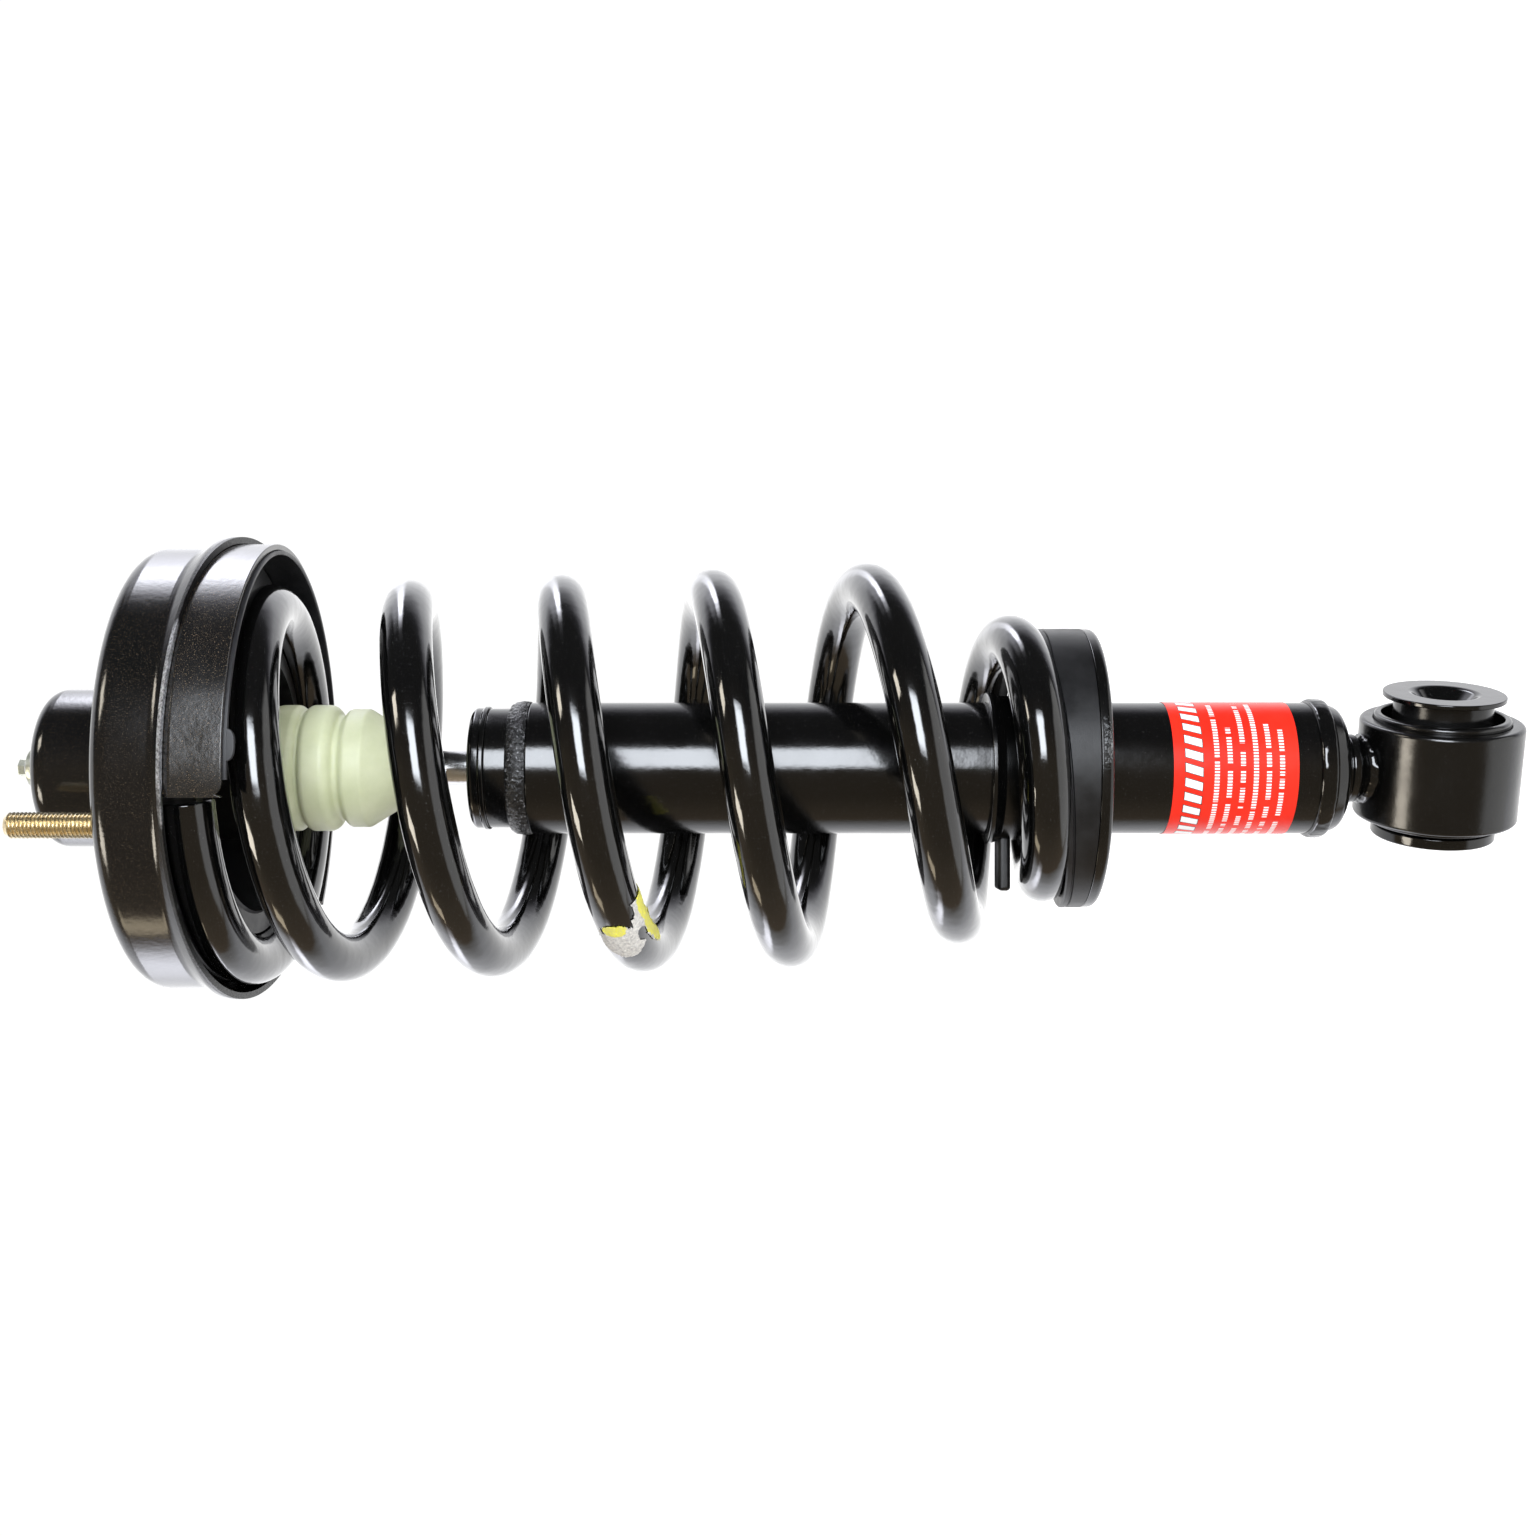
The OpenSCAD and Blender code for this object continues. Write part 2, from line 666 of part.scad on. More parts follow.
module bump_stop() {
    top = -pan_t - cup_t - loose_gap * 2;
    end = -bump_end;
    shoulder_z = end + bump_high_lobe + 2 * bump_lobe_r;
    color(ivory)
        turned(concat([[bump_bore_r, end], [bump_end_r - 1, end], [bump_end_r, end + 1]],
            [[bump_low_r - 1.1, end + bump_low_lobe - 5.8]],
            arc([bump_low_r - 3.6, end + bump_low_lobe], 3.6, -25, 60, 5),
            [[bump_low_valley_r, end + (bump_low_lobe + bump_mid_lobe) / 2 - 0.9]],
            arc([bump_r - bump_lobe_r, end + bump_mid_lobe], bump_lobe_r, -55, 50, 7),
            [[bump_valley_r, end + (bump_mid_lobe + bump_high_lobe) / 2 - 0.4]],
            arc([bump_r - bump_lobe_r, end + bump_high_lobe], bump_lobe_r, -48, 62, 7),
            [[bump_valley_r - 1.6, shoulder_z - 4], [bump_valley_r - 1.6, shoulder_z],
                [bump_top_r, shoulder_z + bump_lobe_r], [bump_top_r, top - 2],
                [bump_top_r - 2, top], [bump_bore_r, top]]));
}

// ---- Rod and piston ----

module piston_rod() {
    end_z = piston_low - shim_t - piston_nut_h - 2;
    color(silver) {
        turned([[0, end_z], [valve_stem_r - 1, end_z], [valve_stem_r, end_z + 1],
            [valve_stem_r, piston_top + check_lift + check_t * 2],
            [rod_r, piston_top + check_lift + check_t * 2],
            [rod_r, shoulder_z - 0.6], [rod_r - 0.6, shoulder_z], [stem_r, shoulder_z],
            [stem_r, rod_tip_z - tip_len - 0.8], [stem_r - 0.8, rod_tip_z - tip_len],
            [0, rod_tip_z - tip_len]]);
        translate([0, 0, rod_tip_z - tip_len])
            cylinder(r = tip_af / sqrt(3), h = tip_len, $fn = 6);
    }
}

// Ring of axial ports through a valve body.
module ports(count, at_r, r, z_low, z_high) {
    for (k = [0:count - 1])
        rotate([0, 0, 360 * k / count])
            translate([at_r, 0, z_low - 1])
                cylinder(r = r, h = z_high - z_low + 2);
}

module piston() {
    groove_low = piston_low + piston_h * 0.25;
    groove_high = piston_low + piston_h * 0.75;
    color(steel)
        difference() {
            turned([[valve_stem_r + running_gap, piston_low], [cylinder_r - 0.6, piston_low],
                [cylinder_r - 0.6, groove_low], [cylinder_r - 1.6, groove_low],
                [cylinder_r - 1.6, groove_high], [cylinder_r - 0.6, groove_high],
                [cylinder_r - 0.6, piston_top], [valve_stem_r + running_gap, piston_top]]);
            ports(6, 8.8, 1.3, piston_low, piston_top);
        }
}

module piston_band() {
    color(rubber)
        ring(cylinder_r - running_gap, cylinder_r - 1.6 + running_gap,
            piston_low + piston_h * 0.25 + loose_gap, piston_low + piston_h * 0.75 - loose_gap);
}

module piston_check_plate() {
    color(steel)
        ring(check_ring_r, valve_stem_r + running_gap, check_seat_z + running_gap,
            check_seat_z + running_gap + check_t);
}

module check_plate_stop() {
    low = check_seat_z + running_gap * 2 + check_t + check_lift;
    color(steel)
        ring(check_ring_r - 2, valve_stem_r + running_gap, low,
            piston_top + check_lift + check_t * 2);
}

module rebound_shims() {
    color(steel)
        for (k = [0:3])
            ring(shim_r - k * 0.8, valve_stem_r + running_gap,
                piston_low - shim_t * (k + 1) / 4, piston_low - shim_t * k / 4);
}

module piston_nut() {
    color(steel)
        translate([0, 0, piston_low - shim_t - piston_nut_h])
            hex_nut(piston_nut_af, piston_nut_h, valve_stem_r + running_gap);
}

module rebound_stop() {
    color(steel)
        turned([[rod_r + running_gap, stop_z - stop_h], [rod_r + 2.2, stop_z - stop_h],
            [rod_r + 4, stop_z - stop_h + 1.8], [rod_r + 4, stop_z], [rod_r + running_gap, stop_z]]);
}

module rebound_bumper() {
    low = stop_z + loose_gap;
    color(rubber)
        turned([[rod_r + loose_gap, low], [rod_r + 4.5, low],
            [rod_r + 5, low + rebound_bumper_h / 2], [rod_r + 4.5, low + rebound_bumper_h],
            [rod_r + loose_gap, low + rebound_bumper_h]]);
}

// ---- Damper body ----

module top_cap() {
    corner_r = 4.5;
    corner = [cap_r - corner_r, -cap_top - corner_r];
    inside = reserve_in;
    color(black_paint)
        turned(concat([[rod_r + 1.2, -cap_top]], arc(corner, corner_r, 90, 0, 6),
            [[cap_r, cap_edge_z + 2.2], [cap_lip_r, cap_edge_z + 1.6], [cap_lip_r, cap_edge_z + 0.4],
                [cap_lip_r - 0.4, cap_edge_z], [inside, cap_edge_z],
                [inside, -cap_top - corner_r], [inside - 2.5, -cap_top - cap_face_t],
                [rod_r + 1.2, -cap_top - cap_face_t]]));
}

module rod_seal() {
    high = -cap_top - cap_face_t - loose_gap;
    low = guide_top + loose_gap;
    color(rubber)
        turned([[rod_r + running_gap, low], [seal_r, low], [seal_r, high], [rod_r + 2, high],
            [rod_r + running_gap, high - 1.5]]);
}

module rod_guide() {
    bore = rod_r + running_gap + bush_t + running_gap;
    color(steel)
        difference() {
            turned([[bore, guide_low], [cylinder_r - running_gap, guide_low],
                [cylinder_r - running_gap, guide_shelf], [reserve_in - running_gap, guide_shelf],
                [reserve_in - running_gap, guide_top - 1.5], [reserve_in - 1.5, guide_top],
                [bore, guide_top]]);
            ports(4, cylinder_r + 3.6, 1.2, guide_shelf, guide_top);
        }
}

module guide_bush() {
    color([0.55, 0.42, 0.25])
        ring(rod_r + running_gap + bush_t, rod_r + running_gap, guide_low + 2, guide_top - 2);
}

module reserve_tube() {
    color(black_paint)
        ring(reserve_r, reserve_in, -tube_end, cap_edge_z);
}

module sleeve_tube() {
    color(black_paint)
        ring(sleeve_r, sleeve_in, -tube_end, -sleeve_top);
}

module pressure_tube() {
    color(silver)
        ring(cylinder_r + cylinder_t, cylinder_r, cylinder_low, cylinder_top);
}

module base_valve() {
    seat = cylinder_low;
    foot = dome_top + loose_gap;
    color(steel)
        difference() {
            turned([[base_stem_r + running_gap, foot], [8, foot], [12, seat - 3],
                [cylinder_r + cylinder_t, seat - 3], [cylinder_r + cylinder_t, seat - loose_gap],
                [cylinder_r - running_gap, seat - loose_gap], [cylinder_r - running_gap, valve_top],
                [base_stem_r + running_gap, valve_top]]);
            ports(6, 9, 1.6, seat - 8, valve_top);
        }
}

module base_check_plate() {
    color(steel)
        ring(base_plate_r, base_stem_r + running_gap, valve_top + running_gap,
            valve_top + running_gap + check_t);
}

module base_valve_bolt() {
    head_low = valve_top + running_gap * 2 + check_t + check_lift;
    color(steel)
        turned([[0, dome_top + 1], [base_stem_r, dome_top + 1], [base_stem_r, head_low],
            [6.5, head_low], [6.5, head_low + 3], [5.5, head_low + 4], [0, head_low + 4]]);
}

module base_cap() {
    low = -tube_end - dome_h;
    edge = sleeve_r - loose_gap;
    color(black_paint)
        turned([[0, low], [neck_disc_r - 0.5, low], [neck_disc_r + 4.2, low + 1.3],
            [edge - 3.8, low + 3.6], [edge - 1.2, low + 6.2], [edge, low + 8.4], [edge, -tube_end - loose_gap],
            [reserve_in - loose_gap, -tube_end - loose_gap], [reserve_in - loose_gap, dome_top],
            [0, dome_top]]);
}

module upper_weld() {
    low = -sleeve_top + loose_gap;
    r = reserve_r + running_gap;
    color(black_paint)
        turned([[r, low], [sleeve_r + 0.2, low], [sleeve_r + 0.4, low + upper_weld_len * 0.3],
            [sleeve_r + 0.1, low + upper_weld_len * 0.7], [r + 1.2, low + upper_weld_len],
            [r, low + upper_weld_len]]);
}

module lower_weld() {
    r = sleeve_r + running_gap;
    mid = -tube_end;
    half = lower_weld_len / 2;
    color(black_paint)
        turned([[r, mid - half], [lower_weld_r - 0.6, mid - half + 0.6],
            [lower_weld_r, mid - half + 2], [lower_weld_r, mid + half - 2],
            [lower_weld_r - 0.6, mid + half - 0.6], [r, mid + half]]);
}

// ---- Lower spring seat ----

module seat_collar() {
    r_in = sleeve_r + running_gap;
    low = -dish_floor - dish_t;
    color(black_paint)
        difference() {
            union() {
                turned([[r_in, low], [collar_r, low], [collar_r, -collar_top - 5],
                    [collar_lip_r - 0.5, -collar_top - 3], [collar_lip_r, -collar_top - 1.2],
                    [collar_lip_r - 0.6, -collar_top], [r_in, -collar_top]]);
                rotate([0, 0, tab_angle])
                    translate([collar_r - 1.5, -tab_w / 2, -tab_top - tab_t])
                        cube([tab_reach - collar_r + 1.5, tab_w, tab_t]);
            }
            translate([0, 0, low - 1])
                cylinder(r = r_in, h = dish_floor + 2);
        }
}

module seat_dish() {
    floor_z = -dish_floor;
    corner_r = 3.4;
    corner = [dish_r - corner_r, floor_z - dish_t + corner_r];
    color(black_paint)
        turned(concat([[collar_r + running_gap, floor_z - dish_t]], arc(corner, corner_r, -90, 0),
            [[dish_r, floor_z + dish_rim_h], [dish_r - dish_t, floor_z + dish_rim_h],
                [dish_r - dish_t, floor_z], [collar_r + running_gap, floor_z]]));
}

module product_label() {
    middle = lip_short_angle;
    color(label_red)
        ring_sector(sleeve_r + loose_gap + label_t, sleeve_r + loose_gap,
            -label_top - label_len, -label_top,
            middle - label_wrap / 2, middle + label_wrap / 2);
}

// ---- Lower eye ----

// The room that the eye ring takes, with a little clearance.
module eye_room(gap) {
    on_eye()
        translate([0, 0, -eye_len])
            cylinder(r = eye_r + gap, h = 2 * eye_len);
}

module eye_neck() {
    top = -tube_end - dome_h;
    color(black_paint)
        difference() {
            turned([[0, eye_z + eye_r - 6], [neck_stem_r, eye_z + eye_r - 6],
                [neck_stem_r, top - neck_disc_t], [neck_disc_r - 0.8, top - neck_disc_t],
                [neck_disc_r, top - neck_disc_t + 0.8], [neck_disc_r, top - 0.8],
                [neck_disc_r - 0.8, top], [0, top]]);
            eye_room(0);
        }
}

module neck_weld() {
    top = -tube_end - dome_h - neck_disc_t;
    r = neck_stem_r + running_gap;
    color(black_paint)
        difference() {
            turned([[r, eye_z + eye_r - 5], [r + 3.4, eye_z + eye_r - 5], [r + 3, top - 3.2],
                [r + 1.2, top - 1.6], [r, top - 1.2]]);
            eye_room(loose_gap);
        }
}

module eye_ring() {
    half = eye_len / 2;
    c = 1.4;
    color(black_paint)
        on_eye()
            turned([[eye_bore_r, -half], [eye_r - c, -half], [eye_r, -half + c], [eye_r, half - c],
                [eye_r - c, half], [eye_bore_r, half]]);
}

module bush_shell() {
    half = eye_len / 2 + shell_lip;
    r_in = eye_bore_r - shell_t;
    round_r = 0.7 * shell_t;
    round_at = eye_bore_r - running_gap - round_r;
    color(black_paint)
        on_eye()
            turned(concat([[r_in, -half]], arc([round_at, round_r - half], round_r, -90, 0),
                arc([round_at, half - round_r], round_r, 0, 90), [[r_in, half]]));
}

module bush_rubber() {
    r = eye_bore_r - shell_t - running_gap;
    bore = inner_sleeve_r + running_gap;
    half = eye_len / 2 - rubber_recess;
    up = sleeve_up - flange_t - soft_gap;
    down = -sleeve_down + end_washer_t + soft_gap;
    color(rubber)
        on_eye()
            turned([[bore, down], [neck_rubber_r, down], [neck_rubber_r, -half], [r, -half],
                [r, half], [neck_rubber_r, half], [neck_rubber_r, up], [bore, up]]);
}

module bush_sleeve() {
    mouth_r = bolt_bore_r + 5.6;
    color(black_paint)
        on_eye()
            difference() {
                turned(concat([[bolt_bore_r - 1, -sleeve_down], [inner_sleeve_r, -sleeve_down],
                    [inner_sleeve_r, sleeve_up - flange_t], [flange_r, sleeve_up - flange_t],
                    [flange_r, sleeve_up], [mouth_r, sleeve_up]],
                    arc([mouth_r, sleeve_up - 4.6], 4.6, 90, 170, 5),
                    [[bolt_bore_r - 1, sleeve_up - 4.6]]));
                translate([0, 0, -sleeve_down - 1])
                    cylinder(r = bolt_bore_r, h = sleeve_up + sleeve_down + 2);
            }
}

module bush_end_washer() {
    color(black_paint)
        on_eye()
            ring(end_washer_r, inner_sleeve_r + running_gap, -sleeve_down,
                -sleeve_down + end_washer_t);
}

mount_pan();
mount_studs();
mount_can();
mount_rubber();
mount_sleeve();
upper_washer();
lower_washer();
rod_nut();
spring_skirt();
skirt_lining();
upper_isolator();
bump_stop_cup();
bump_stop();
piston_rod();
piston();
piston_band();
piston_check_plate();
check_plate_stop();
rebound_shims();
piston_nut();
rebound_stop();
rebound_bumper();
coil_spring();
top_cap();
rod_seal();
rod_guide();
guide_bush();
reserve_tube();
sleeve_tube();
pressure_tube();
base_valve();
base_check_plate();
base_valve_bolt();
base_cap();
upper_weld();
lower_weld();
seat_collar();
seat_dish();
lower_isolator();
product_label();
eye_neck();
neck_weld();
eye_ring();
bush_shell();
bush_rubber();
bush_sleeve();
bush_end_washer();
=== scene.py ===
import math

import bmesh
import bpy
from mathutils import Matrix, Vector, noise


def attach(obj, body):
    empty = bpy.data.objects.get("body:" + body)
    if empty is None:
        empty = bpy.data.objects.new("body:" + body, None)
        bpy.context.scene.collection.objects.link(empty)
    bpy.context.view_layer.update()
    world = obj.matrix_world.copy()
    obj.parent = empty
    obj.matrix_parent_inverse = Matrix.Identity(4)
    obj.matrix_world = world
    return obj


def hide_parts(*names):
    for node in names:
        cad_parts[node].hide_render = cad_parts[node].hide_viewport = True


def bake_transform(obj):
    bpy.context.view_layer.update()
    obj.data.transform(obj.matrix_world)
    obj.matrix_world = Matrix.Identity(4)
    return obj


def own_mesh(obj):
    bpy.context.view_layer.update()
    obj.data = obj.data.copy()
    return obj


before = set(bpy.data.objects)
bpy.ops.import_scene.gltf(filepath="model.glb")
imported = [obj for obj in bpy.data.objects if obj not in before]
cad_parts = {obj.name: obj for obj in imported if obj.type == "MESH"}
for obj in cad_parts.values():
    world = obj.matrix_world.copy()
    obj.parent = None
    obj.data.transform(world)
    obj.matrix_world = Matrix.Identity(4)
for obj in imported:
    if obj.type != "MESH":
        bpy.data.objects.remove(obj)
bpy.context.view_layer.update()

# ---- Studio ----
# The strut hangs over a plain pale floor, in a white tent that is open toward the camera
# and glares at its left end. A softbox is by the camera, and warm lamps stand to its left.

MM = 0.001


def outward(degrees):
    """The direction straight out from the strut's axis to one of its sides."""
    return Vector((math.cos(math.radians(degrees)), math.sin(math.radians(degrees)), 0))


camera_side = 15
toward = outward(camera_side)
upward = outward(camera_side + 90)
rightward = Vector((0, 0, -1))
look_at = Vector((0, 0, -246 * MM))


def aimed(obj, far, right, up, back):
    """Puts a camera or a lamp in the studio, looking at the strut from a distance in metres."""
    turned_to = Matrix((right, up, back)).transposed().to_4x4()
    obj.matrix_world = Matrix.Translation(look_at + back * far) @ turned_to
    bpy.context.scene.collection.objects.link(obj)


camera_distance = 769.5
frame_pixels, focal_pixels, sensor_mm = 1536, 1900, 36
camera_data = bpy.data.cameras.new("camera")
camera_data.lens = focal_pixels / frame_pixels * sensor_mm
camera_data.sensor_width = sensor_mm
camera_data.clip_start = 0.01
camera = bpy.data.objects.new("camera", camera_data)
aimed(camera, camera_distance * MM, rightward, upward, toward)
bpy.context.scene.camera = camera
bpy.context.scene.view_settings.view_transform = "Standard"


def add_node(tree, kind, inputs=None, **settings):
    """A shader node with its settings and inputs, where an input may be another socket."""
    node = tree.nodes.new("ShaderNode" + kind)
    for key, value in settings.items():
        setattr(node, key, value)
    for key, value in (inputs or {}).items():
        if isinstance(value, bpy.types.NodeSocket):
            tree.links.new(value, node.inputs[key])
        else:
            node.inputs[key].default_value = value
    return node


def feed(shader, name, socket):
    """Links a socket to one of a shader's own inputs."""
    shader.id_data.links.new(socket, shader.inputs[name])


def calc(operation, *values):
    """One step of arithmetic between sockets and numbers."""
    tree = next(value for value in values if isinstance(value, bpy.types.NodeSocket)).id_data
    return add_node(tree, "Math", dict(enumerate(values)), operation=operation).outputs[0]


def mapped(value, low, high, to_low=0.0, to_high=1.0, **settings):
    """A value carried from one range to another, and held at both ends."""
    inputs = {0: value, 1: low, 2: high, 3: to_low, 4: to_high}
    return add_node(value.id_data, "MapRange", inputs, **settings).outputs[0]


def mixed(share, under, over):
    """One colour over another, each a socket or four numbers, by a share from 0 to 1."""
    inputs = {0: share, 6: under, 7: over}
    return add_node(share.id_data, "Mix", inputs, data_type="RGBA").outputs[2]


def facing_of(place, way):
    """How far a place or a direction reaches along a way."""
    dot = add_node(place.id_data, "VectorMath", {0: place, 1: way}, operation="DOT_PRODUCT")
    return dot.outputs["Value"]


def add_ramp(factor, stops, interpolation="LINEAR"):
    """A colour ramp whose stops are (position, colour or grey)."""
    ramp = add_node(factor.id_data, "ValToRGB", {0: factor})
    ramp.color_ramp.interpolation = interpolation
    elements = ramp.color_ramp.elements
    while len(elements) < len(stops):
        elements.new(0.5)
    for element, (position, colour) in zip(elements, stops):
        element.position = position
        colour = (colour,) * 3 if isinstance(colour, (int, float)) else colour
        element.color = (*colour, 1)
    return ramp.outputs[0]


world = bpy.data.worlds.new("white_tent")
world.use_nodes = True
bpy.context.scene.world = world
tent = world.node_tree
tent.nodes.clear()
direction = add_node(tent, "TexCoord").outputs["Generated"]
front, height, side = (facing_of(direction, way) for way in (toward, upward, rightward))
turn = mapped(calc("ARCTAN2", height, front), -math.pi, math.pi)


def ramp_round(stops):
    """A ramp round the strut, with its stops in degrees up from the camera's side."""
    return add_ramp(turn, [((degrees + 180) / 360, value) for degrees, value in stops])


cloth = ramp_round([
    (-180, 0.93), (-125, (0.88, 0.89, 0.93)), (-108, (0.50, 0.49, 0.48)),
    (-103, (0.27, 0.21, 0.15)), (-78, (0.25, 0.20, 0.14)), (-50, (0.18, 0.145, 0.10)),
    (0, (0.17, 0.14, 0.10)), (30, (0.08, 0.07, 0.06)), (55, 0.04), (100, 0.045),
    (112, (0.09, 0.09, 0.10)), (124, (0.46, 0.46, 0.50)), (136, (0.88, 0.89, 0.93)), (180, 0.93)])
glare = ramp_round([
    (-180, 0.0), (-155, 0.02), (-142, 0.08), (-130, 0.26), (-120, 0.44), (-112, 0.44),
    (-104, 0.16), (-96, 0.0), (84, 0.0), (94, 0.03), (103, 0.42), (112, 1.0), (119, 0.95),
    (130, 0.38), (140, 0.16), (150, 0.06), (180, 0.0)])
left_end = add_ramp(mapped(side, -1.0, 0.0), [
    (0.40, 0.0), (0.48, 0.10), (0.61, 0.12), (0.66, 0.9), (0.75, 1.0), (0.83, 0.0)])
glare_colour, glare_strength = (0.90, 0.91, 1.0), 8.5
bright = calc("MULTIPLY", calc("MULTIPLY", glare, left_end), glare_strength)
shine = add_node(tent, "VectorMath", {0: glare_colour, "Scale": bright},
                 operation="SCALE").outputs[0]
panel = calc("MULTIPLY", mapped(side, 0.70, 0.78), mapped(front, -0.16, -0.10))
panel_colour = (0.85, 0.85, 0.84, 1)
lit = add_node(tent, "VectorMath", {0: mixed(panel, cloth, panel_colour), 1: shine},
               operation="ADD").outputs[0]
seen_strength, lighting_strength = 1.05, 1.5
seen = add_node(tent, "Background", {0: (1, 1, 1, 1), 1: seen_strength}).outputs[0]
lighting = add_node(tent, "Background", {0: lit, 1: lighting_strength}).outputs[0]
is_seen = add_node(tent, "LightPath").outputs["Is Camera Ray"]
both = add_node(tent, "MixShader", {0: is_seen, 1: lighting, 2: seen}).outputs[0]
add_node(tent, "OutputWorld", {0: both})

lamp_distance = 1.6


def softbox(name, up_degrees, right_degrees, size, radiance, colour, fills=True, fade=0.0):
    """A softbox that faces the strut, turned up round it and then to the right. One that
    doesn't fill shows in gloss alone, and one that fades is dimmer toward its edges."""
    up, right = math.radians(up_degrees), math.radians(right_degrees)
    way = ((toward * math.cos(up) + upward * math.sin(up)) * math.cos(right)
           + rightward * math.sin(right))
    data = bpy.data.lights.new(name, "AREA")
    data.shape = "RECTANGLE"
    data.size, data.size_y = size
    data.energy = radiance * math.pi * size[0] * size[1]
    data.color = colour
    if fade:
        data.use_nodes = True
        glow = data.node_tree
        spot = add_node(glow, "NewGeometry").outputs["Parametric"]
        split = add_node(glow, "SeparateXYZ", {0: spot})
        edges = [mapped(calc("PINGPONG", split.outputs[k], 0.5), 0.0, fade, 0.25, 1.0,
                        interpolation_type="SMOOTHSTEP") for k in (0, 1)]
        feed(glow.nodes["Emission"], "Strength", calc("MULTIPLY", *edges))
    box = bpy.data.objects.new(name, data)
    box.visible_diffuse = fills
    long_way = (rightward - way * rightward.dot(way)).normalized()
    aimed(box, lamp_distance, long_way, way.cross(long_way), way)


warm_lamp = (1.0, 0.92, 0.78)
softbox("camera_box", 17.5, -4.3, (0.82, 1.10), 16.5, (0.88, 0.93, 1.0), fade=0.2)
softbox("underfoot_glow", -86, -30, (0.45, 0.26), 3.5, (1.0, 0.86, 0.62), fills=False)
softbox("high_lamp", 46, -57, (0.39, 0.345), 11.0, warm_lamp, fills=False)
softbox("low_lamp", -48, -56, (0.49, 0.35), 11.0, warm_lamp, fills=False)


def new_finish(name, colour, roughness, metallic=0.0, coat=0.0, coat_roughness=0.05, specular=0.5):
    """A material with its shader and object coordinates, ready for its details."""
    material = bpy.data.materials.new(name)
    material.use_nodes = True
    shader = material.node_tree.nodes["Principled BSDF"]
    shader.inputs["Base Color"].default_value = (*colour, 1)
    shader.inputs["Roughness"].default_value = roughness
    shader.inputs["Metallic"].default_value = metallic
    shader.inputs["Coat Weight"].default_value = coat
    shader.inputs["Coat Roughness"].default_value = coat_roughness
    shader.inputs["Specular IOR Level"].default_value = specular
    place = add_node(material.node_tree, "TexCoord").outputs["Object"]
    return material, shader, place


floor_height = -600
floor_mesh = bpy.data.meshes.new("floor")
bm = bmesh.new()
bmesh.ops.create_circle(bm, cap_ends=True, radius=2.2, segments=96,
                        matrix=Matrix.Translation((0, 0, floor_height * MM)))
bm.to_mesh(floor_mesh)
bm.free()
floor = bpy.data.objects.new("floor", floor_mesh)
floor.visible_glossy = False
bpy.context.scene.collection.objects.link(floor)
floor_paint, shader, place = new_finish("pale_floor", (0.80, 0.80, 0.80), 0.9)
shader.inputs["Emission Color"].default_value = (1, 1, 1, 1)
shader.inputs["Emission Strength"].default_value = 0.75
floor_mesh.materials.append(floor_paint)


# ---- Mount pan ----
# The dish that bolts to the body: stamped from 2.6 mm sheet, its mouth flared and then
# trimmed a little out of square. It is dipped in satin black, and its sheared edge shows, with a
# painted glint of bright bare-steel spots on one side.

def filleted(corners, arc_steps):
    """A closed outline of (radius, height, fillet) corners in mm, with its fillets drawn."""
    outline = []
    for i, corner in enumerate(corners):
        here = Vector(corner[:2])
        if len(corner) < 3:
            outline.append(here)
            continue
        a = Vector(corners[i - 1][:2]) - here
        b = Vector(corners[(i + 1) % len(corners)][:2]) - here
        half = a.angle(b) / 2
        cut = min(corner[2] / math.tan(half), a.length * 0.49, b.length * 0.49)
        a.normalize()
        b.normalize()
        centre = here + (a + b).normalized() * (cut / math.cos(half))
        first, last = here + a * cut - centre, here + b * cut - centre
        outline += [centre + first.slerp(last, k / arc_steps).normalized() * first.length
                    for k in range(arc_steps + 1)]
    return outline


def turned(corners, steps=128, arc_steps=4, first=0.0, sweep=360.0):
    """Spins an outline about the strut's axis: all round, or from one side through a sweep."""
    bm = bmesh.new()
    start = Matrix.Rotation(math.radians(first), 3, "Z")
    verts = [bm.verts.new(start @ Vector((p.x * MM, 0, p.y * MM)))
             for p in filleted(corners, arc_steps)]
    edges = [bm.edges.new((verts[i - 1], verts[i])) for i in range(len(verts))]
    whole = sweep >= 360
    bmesh.ops.spin(bm, geom=verts + edges, cent=(0, 0, 0), axis=(0, 0, 1),
                   angle=math.radians(sweep), steps=steps, use_merge=whole)
    bmesh.ops.remove_doubles(bm, verts=bm.verts, dist=2e-6)
    if not whole:
        bmesh.ops.holes_fill(bm, edges=bm.edges, sides=0)
    bmesh.ops.recalc_face_normals(bm, faces=bm.faces)
    return bm


def cut_across(bm, height, way, clear=False):
    """Cuts a bmesh with a plane through a height of the axis, and may clear what is past it."""
    return bmesh.ops.bisect_plane(bm, geom=bm.verts[:] + bm.edges[:] + bm.faces[:], dist=1e-7,
                                  plane_co=(0, 0, height * MM), plane_no=way, clear_outer=clear)


def rounded(bm, edges, radius, steps):
    """Rounds edges off to a radius in millimetres."""
    bmesh.ops.bevel(bm, geom=edges, offset=radius * MM, segments=steps, profile=0.5,
                    affect="EDGES", material=-1, clamp_overlap=True)


